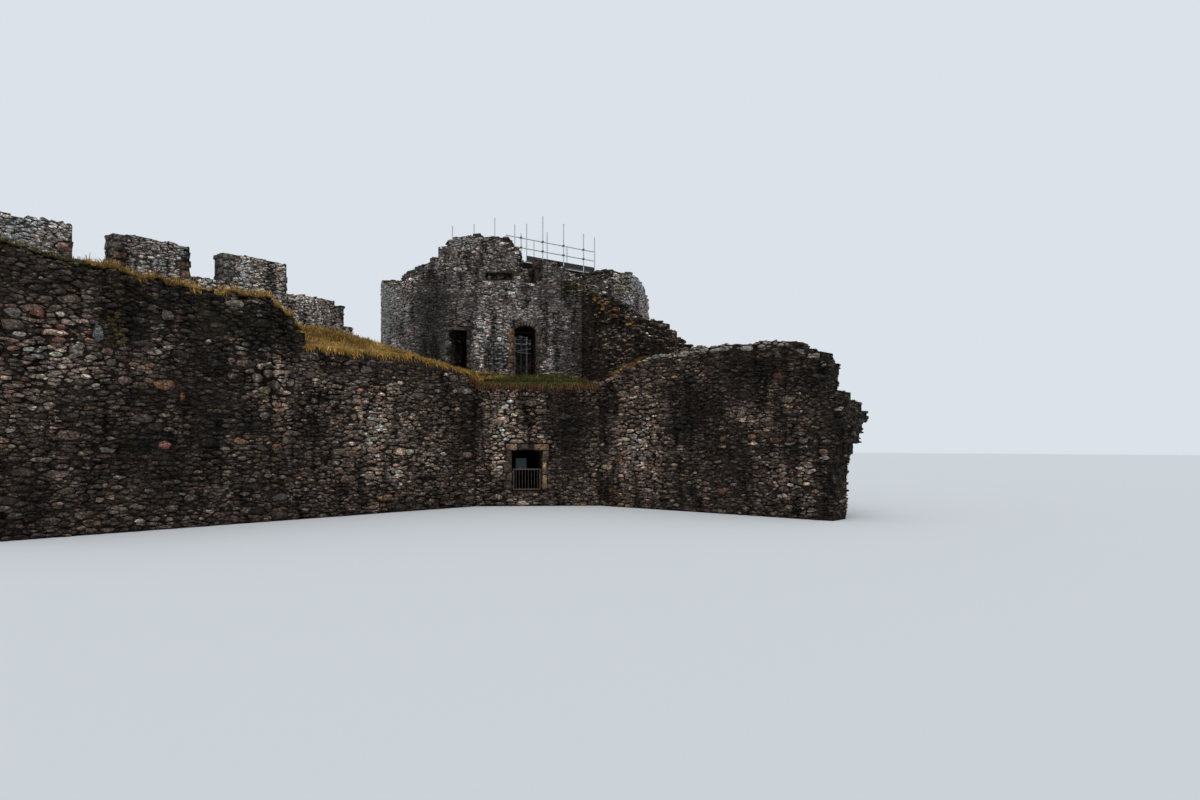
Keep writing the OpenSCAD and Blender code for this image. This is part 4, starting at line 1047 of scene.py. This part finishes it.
def drape(name, spans, owners, thickness, colours, bare, fringe=2, tall=1.0, seed=40):
    """Lays a soft capping of earth and dry turf over wall heads, hanging over their edges in a ragged fringe.

    Colours are those of the turf where it lies, where it stands up in tufts and where it hangs.
    The higher bare is, the more of the head shows, from -2 for none. The fringe is so many cells wide.
    """
    height = survey(from_above, spans, ABOVE, owners)
    a, b = cells(spans)
    flat = np.stack([a, b, np.zeros(a.shape)], axis=-1)
    under = ~np.isnan(height)
    covered = under & (drift(flat, 0.8, seed) + 0.5 * drift(flat, 0.25, seed + 1) > bare)
    level = np.where(under, height, 0)
    soft = blurred(level, covered.astype(float), 4)
    tuft = drift(flat, 0.3, seed + 2) * 0.5 + drift(flat, 0.13, seed + 3) * 0.5
    top = np.maximum(soft, level) + thickness * (1 + 0.9 * tuft)
    rim = covered.copy()
    hang = np.zeros(rim.shape)
    for step in range(1, fringe + 1):
        wider = rim.copy()
        wider[1:] |= rim[:-1]
        wider[:-1] |= rim[1:]
        wider[:, 1:] |= rim[:, :-1]
        wider[:, :-1] |= rim[:, 1:]
        fresh = wider & ~rim & (drift(flat, 0.22, seed + 9) > 0.35 * step - 1.2)
        top = np.where(fresh, soft + thickness - 0.02 * step**2 * (1.4 + tuft), top)
        hang = np.where(fresh, step / fringe, hang)
        rim = rim | fresh
    index = np.full(rim.shape, -1)
    index[rim] = np.arange(rim.sum())
    # The fringe hangs close to the face, so its cells are drawn in towards the edge
    edge = blurred(covered.astype(float), np.ones(rim.shape), 3)
    inward = np.stack(np.gradient(edge), axis=-1)
    inward /= np.maximum(np.linalg.norm(inward, axis=-1, keepdims=True), 1e-6)
    shift = inward * (hang**1.3 * fringe * CELL * 0.6)[..., None]
    shift += 0.35 * CELL * np.stack([drift(flat, 0.07, seed + 5), drift(flat, 0.07, seed + 6)], axis=-1)
    points = np.stack([a + shift[..., 0], b + shift[..., 1], top], axis=-1)[rim]
    quads = np.stack([index[:-1, :-1], index[1:, :-1], index[1:, 1:], index[:-1, 1:]], axis=-1).reshape(-1, 4)
    quads = quads[(quads >= 0).all(axis=1)]
    lying, standing, hanging = (np.array(linear(colour)) for colour in colours)
    stands = np.clip(0.5 + 0.9 * drift(points, 0.45, seed + 7) + 0.5 * tuft[rim], 0, 1)[:, None]
    over = np.clip(1.6 * hang[rim] + 0.3 * drift(points, 0.3, seed + 8), 0, 1)[:, None]
    tints = (lying * (1 - stands) + standing * stands) * (1 - over) + hanging * over
    # The earth lies in the shade of the strands on it
    add_piece(name, points, quads.tolist(), TURF, "earth_capping", 0.6 * tints, smooth=True)
    border = np.clip((0.95 - edge[rim]) / 0.3, 0, 1)[:, None]
    outward = np.concatenate([-inward[rim], np.zeros((len(points), 1))], axis=1)
    picks = np.repeat(np.arange(len(points)), 3)
    ways = outward * 0.5 * border + UP * (0.8 - 1.6 * border)
    tall = tall * (1 + 0.1 * border[picks])
    thatch(name + "_strands", points[picks], ways[picks], tints[picks], tall, seed)


def thatch(name, roots, ways, tints, tall, seed):
    """Strands of dry turf and moss, each a narrow strip that bends down to its tip."""
    rng = np.random.default_rng(seed)
    n = len(roots)
    roots = roots + rng.uniform(-CELL, CELL, (n, 3)) * (1, 1, 0.3)
    ways = ways + rng.normal(0, 0.35, (n, 3))
    length = rng.uniform(0.05, 0.15, (n, 1)) * tall
    turn = rng.uniform(0, math.pi, n)
    side = np.stack([np.cos(turn), np.sin(turn), 0 * turn], axis=1) * rng.uniform(0.006, 0.012, (n, 1))
    bend = roots + ways * length * 0.6
    tip = roots + ways * length + (0, 0, -0.3) * length
    points = np.stack([roots - side, roots + side, bend - 0.8 * side, bend + 0.8 * side, tip], axis=1)
    first = 5 * np.arange(n)[:, None]
    faces = (first + (0, 1, 3, 2)).tolist() + (first + (2, 3, 4)).tolist()
    # Painted shade at the root of each strand and painted light at its tip, with a tone of its own for each
    # strand
    shade = np.array((0.35, 0.35, 1.0, 1.0, 1.5))[:, None] * np.exp(rng.normal(0, 0.35, (n, 1, 1)))
    add_piece(name, points, faces, TURF, "earth_capping", tints[:, None] * shade)


GOLDEN = ("#8a6c38", "#d0ac66", "#b4883f")
DULL = ("#4a472b", "#7a7048", "#4f4a30")
MOSSY = ("#474c2a", "#646434", "#8a5634")
RUSTY = ("#5f5a2c", "#8f7433", "#85562c")
WEST_WIDTH = (PARAPET_FACE, WEST_FACE + 0.02)
WEST_TURF = (WEST_WIDTH, (-18.8, -BANK_END))
FAR_TURF = (WEST_WIDTH, (-WEST_LEN, -18.6))
BANK_TURF = ((PARAPET_FACE, 4.5), (-BANK_END - 0.1, -4.2))
TERRACE_TURF = ((4.2, 7.9), (-6.4, -2.7))
JUNCTION_TURF = ((5.3, 9.6), (-3.0, -2.3))
WEST_HEADS = ("west_inner_leaf", "west_core")
drape("west_capping", WEST_TURF, WEST_HEADS, 0.08, GOLDEN, bare=-0.5, fringe=1, tall=2.0)
drape("far_capping", FAR_TURF, WEST_HEADS, 0.06, DULL, bare=-0.1, fringe=1, tall=1.4, seed=45)
drape("bank_capping", BANK_TURF, EARTH_NODES, 0.05, GOLDEN, bare=-2.0, seed=50)
drape("terrace_capping", TERRACE_TURF, EARTH_NODES, 0.04, MOSSY, bare=-2.0, tall=1.5, seed=60)
drape("junction_capping", JUNCTION_TURF, NORTH_HEAD, 0.05, RUSTY, bare=0.0, seed=80)


# Boards, floor and couplers

# Widths of the scaffold's boards and of the floor's planks, and the gaps between them
BOARD_W = 0.225
BOARD_GAP = 0.008
PLANK_W = 0.18
PLANK_GAP = 0.006


def timber(name, boxes, material, slot, turn=0.0):
    """One mesh of boxes (x from, to, y from, to, z from, to), turned about the axis of the keep."""
    corners = np.array([[(b[i], b[2 + j], b[4 + k]) for i, j, k in np.ndindex(2, 2, 2)] for b in boxes])
    c, s = math.cos(turn), math.sin(turn)
    corners = corners @ np.array(((c, s, 0), (-s, c, 0), (0, 0, 1)))
    faces = np.array([(0, 1, 3, 2), (4, 6, 7, 5), (0, 4, 5, 1), (2, 3, 7, 6), (0, 2, 6, 4), (1, 5, 7, 3)])
    quads = (faces + 8 * np.arange(len(boxes))[:, None, None]).reshape(-1, 4)
    add_piece(name, corners, quads.tolist(), material, slot)


def bay_y(i):
    """Place of an upright along its row."""
    return (i - 2) * BAY_L


def strips(low, high, width, gap, rng):
    """Splits a width into boards of nearly equal width with gaps between them."""
    count = round((high - low) / width)
    edges = np.linspace(low, high, count + 1)
    return [(p + gap / 2, q - gap / 2, rng.uniform(-0.002, 0.002)) for p, q in zip(edges[:-1], edges[1:])]


deck_from, deck_to = bay_y(1) + 0.3 * BAY_L, bay_y(4) + DECK_OVERHANG
deck_boards = []
for near, far in zip(SCAFFOLD_ROWS[:-1], SCAFFOLD_ROWS[1:]):
    for low, high, warp in strips(near + TUBE_D, far - TUBE_D, BOARD_W, BOARD_GAP, rng):
        split = deck_from + rng.choice((0.45, 0.55)) * (deck_to - deck_from)
        for start, end in ((deck_from, split - BOARD_GAP / 2), (split + BOARD_GAP / 2, deck_to)):
            deck_boards.append((low, high, start, end, DECK_Z - DECK_T - 0.003, DECK_Z + 0.004 + warp))
timber("scaffold_deck_boards", deck_boards, SPRUCE, "scaffold_boards", SCAFFOLD_TURN)

planks = []
for low, high, warp in strips(-UPPER_INNER_R + 0.02, UPPER_INNER_R - 0.02, PLANK_W, PLANK_GAP, rng):
    half = math.sqrt(max((UPPER_INNER_R - 0.012) ** 2 - max(abs(low), abs(high)) ** 2, 0.0))
    if half > 0.3:
        cut = rng.uniform(-0.4, 0.4) * half
        for start, end in ((-half, cut - PLANK_GAP / 2), (cut + PLANK_GAP / 2, half)):
            planks.append((low, high, start, end, FIRST_FLOOR_Z - 0.01, FIRST_FLOOR_Z + 0.004 + warp))
timber("first_floor_planks", planks, OAK, "floor_timber")

# Sizes of the couplers that join a ledger or a guard rail to an upright, and a transom to a ledger
LEDGER_COUPLER = (0.12, 0.066, 0.07)
TRANSOM_COUPLER = (0.07, 0.07, 0.11)
couplers = []


def coupler(x, y, z, sizes):
    """A forged coupler round the middle of a crossing of tubes."""
    couplers.append([middle + side * size / 2 for middle, size in zip((x, y, z), sizes) for side in (-1, 1)])


for row in SCAFFOLD_ROWS:
    for i in range(5):
        for lift in LIFTS:
            coupler(row + TUBE_D / 2, bay_y(i), lift, LEDGER_COUPLER)
            coupler(row + TUBE_D, bay_y(i) + TUBE_D, lift + TUBE_D / 2, TRANSOM_COUPLER)
for i in range(1, 5):
    for rail in (DECK_Z + 0.55 * GUARD_H, DECK_Z + GUARD_H):
        coupler(SCAFFOLD_ROWS[2] - TUBE_D / 2, bay_y(i), rail, LEDGER_COUPLER)
timber("scaffold_couplers", couplers, FORGED, "galvanised_tube", SCAFFOLD_TURN)


# The finish of each CAD node, by how its name starts; the first that fits counts
FINISHES = {
    "upper_wall": FULL_MORTAR,
    "lower_wall": FULL_MORTAR,
    "west_parapet": FULL_MORTAR,
    "merlons": FULL_MORTAR,
    "earth_terraces": EARTH,
    "ground_floor": EARTH,
    "first_floor": OAK,
    "upper_grille": IRON,
    "gate_pintles": IRON,
    "gate": IRON_WITH_PAINTED_LIGHT,
    "notice_plate": ENAMEL_IN_PAINTED_SHADE,
    "scaffold_deck": SPRUCE,
    "scaffold_toe_boards": DARK_BOARD,
    "scaffold": ZINC,
    "": WASHED_MORTAR,
}
for name, node in cad.items():
    node.data.materials.clear()
    node.data.materials.append(next(finish for start, finish in FINISHES.items() if name.startswith(start)))


# Camera, light and floor

# Where the camera stands, which way it looks on the level, and which way the light falls
PHOTO_EYE = (27.55, -25.59, 2.3)
PHOTO_VIEW = (-0.6587, 0.7524, 0)
LIGHT_FALLS = (-0.4, 0.4, -0.85)


def studio():
    """Pale floor and background, an overcast sky's soft light, and the camera at the photograph's angle."""
    scene = bpy.context.scene
    scene.view_settings.view_transform = "Standard"
    bpy.ops.mesh.primitive_plane_add(size=400, location=(0, 0, -0.002))
    floor = bpy.context.object
    floor.name = "floor"
    floor.data.materials.append(new_material("pale_floor", base_color=linear("#c9ccce"), roughness=1.0)[0])

    world = bpy.data.worlds.new("overcast_sky")
    scene.world = world
    world.use_nodes = True
    tree = world.node_tree
    tree.nodes.clear()
    path = add(tree, "LightPath")
    seen = path.outputs["Is Camera Ray"]
    for ray in ("Is Glossy Ray", "Is Transmission Ray"):
        seen = add(tree, "Math", (seen, path.outputs[ray]), operation="MAXIMUM")
    # An overcast sky is several times brighter overhead than at the horizon
    height = add(tree, "SeparateXYZ", {0: add(tree, "TexCoord").outputs["Generated"]}).outputs["Z"]
    strength = add(tree, "MapRange", (height, 0.0, 1.0, 0.25, 1.25))
    light = add(tree, "Background", {"Color": linear("#dfe6ee"), "Strength": strength})
    shown = add(tree, "Background", {"Color": linear("#dbe2e9"), "Strength": 1.0})
    mix = add(tree, "MixShader", (seen, light, shown))
    add(tree, "OutputWorld", {"Surface": mix})

    sun = bpy.data.lights.new("soft_key", "SUN")
    sun.energy = 1.3
    sun.angle = math.radians(60)
    sun.color = (1.0, 0.97, 0.93)
    new_object("soft_key", sun, LIGHT_FALLS)

    camera = bpy.data.cameras.new("camera")
    camera.lens = 24
    camera.sensor_width = 36
    camera.shift_y = 0.0375
    camera.clip_end = 500
    scene.camera = new_object("camera", camera, PHOTO_VIEW)
    scene.camera.location = PHOTO_EYE


studio()
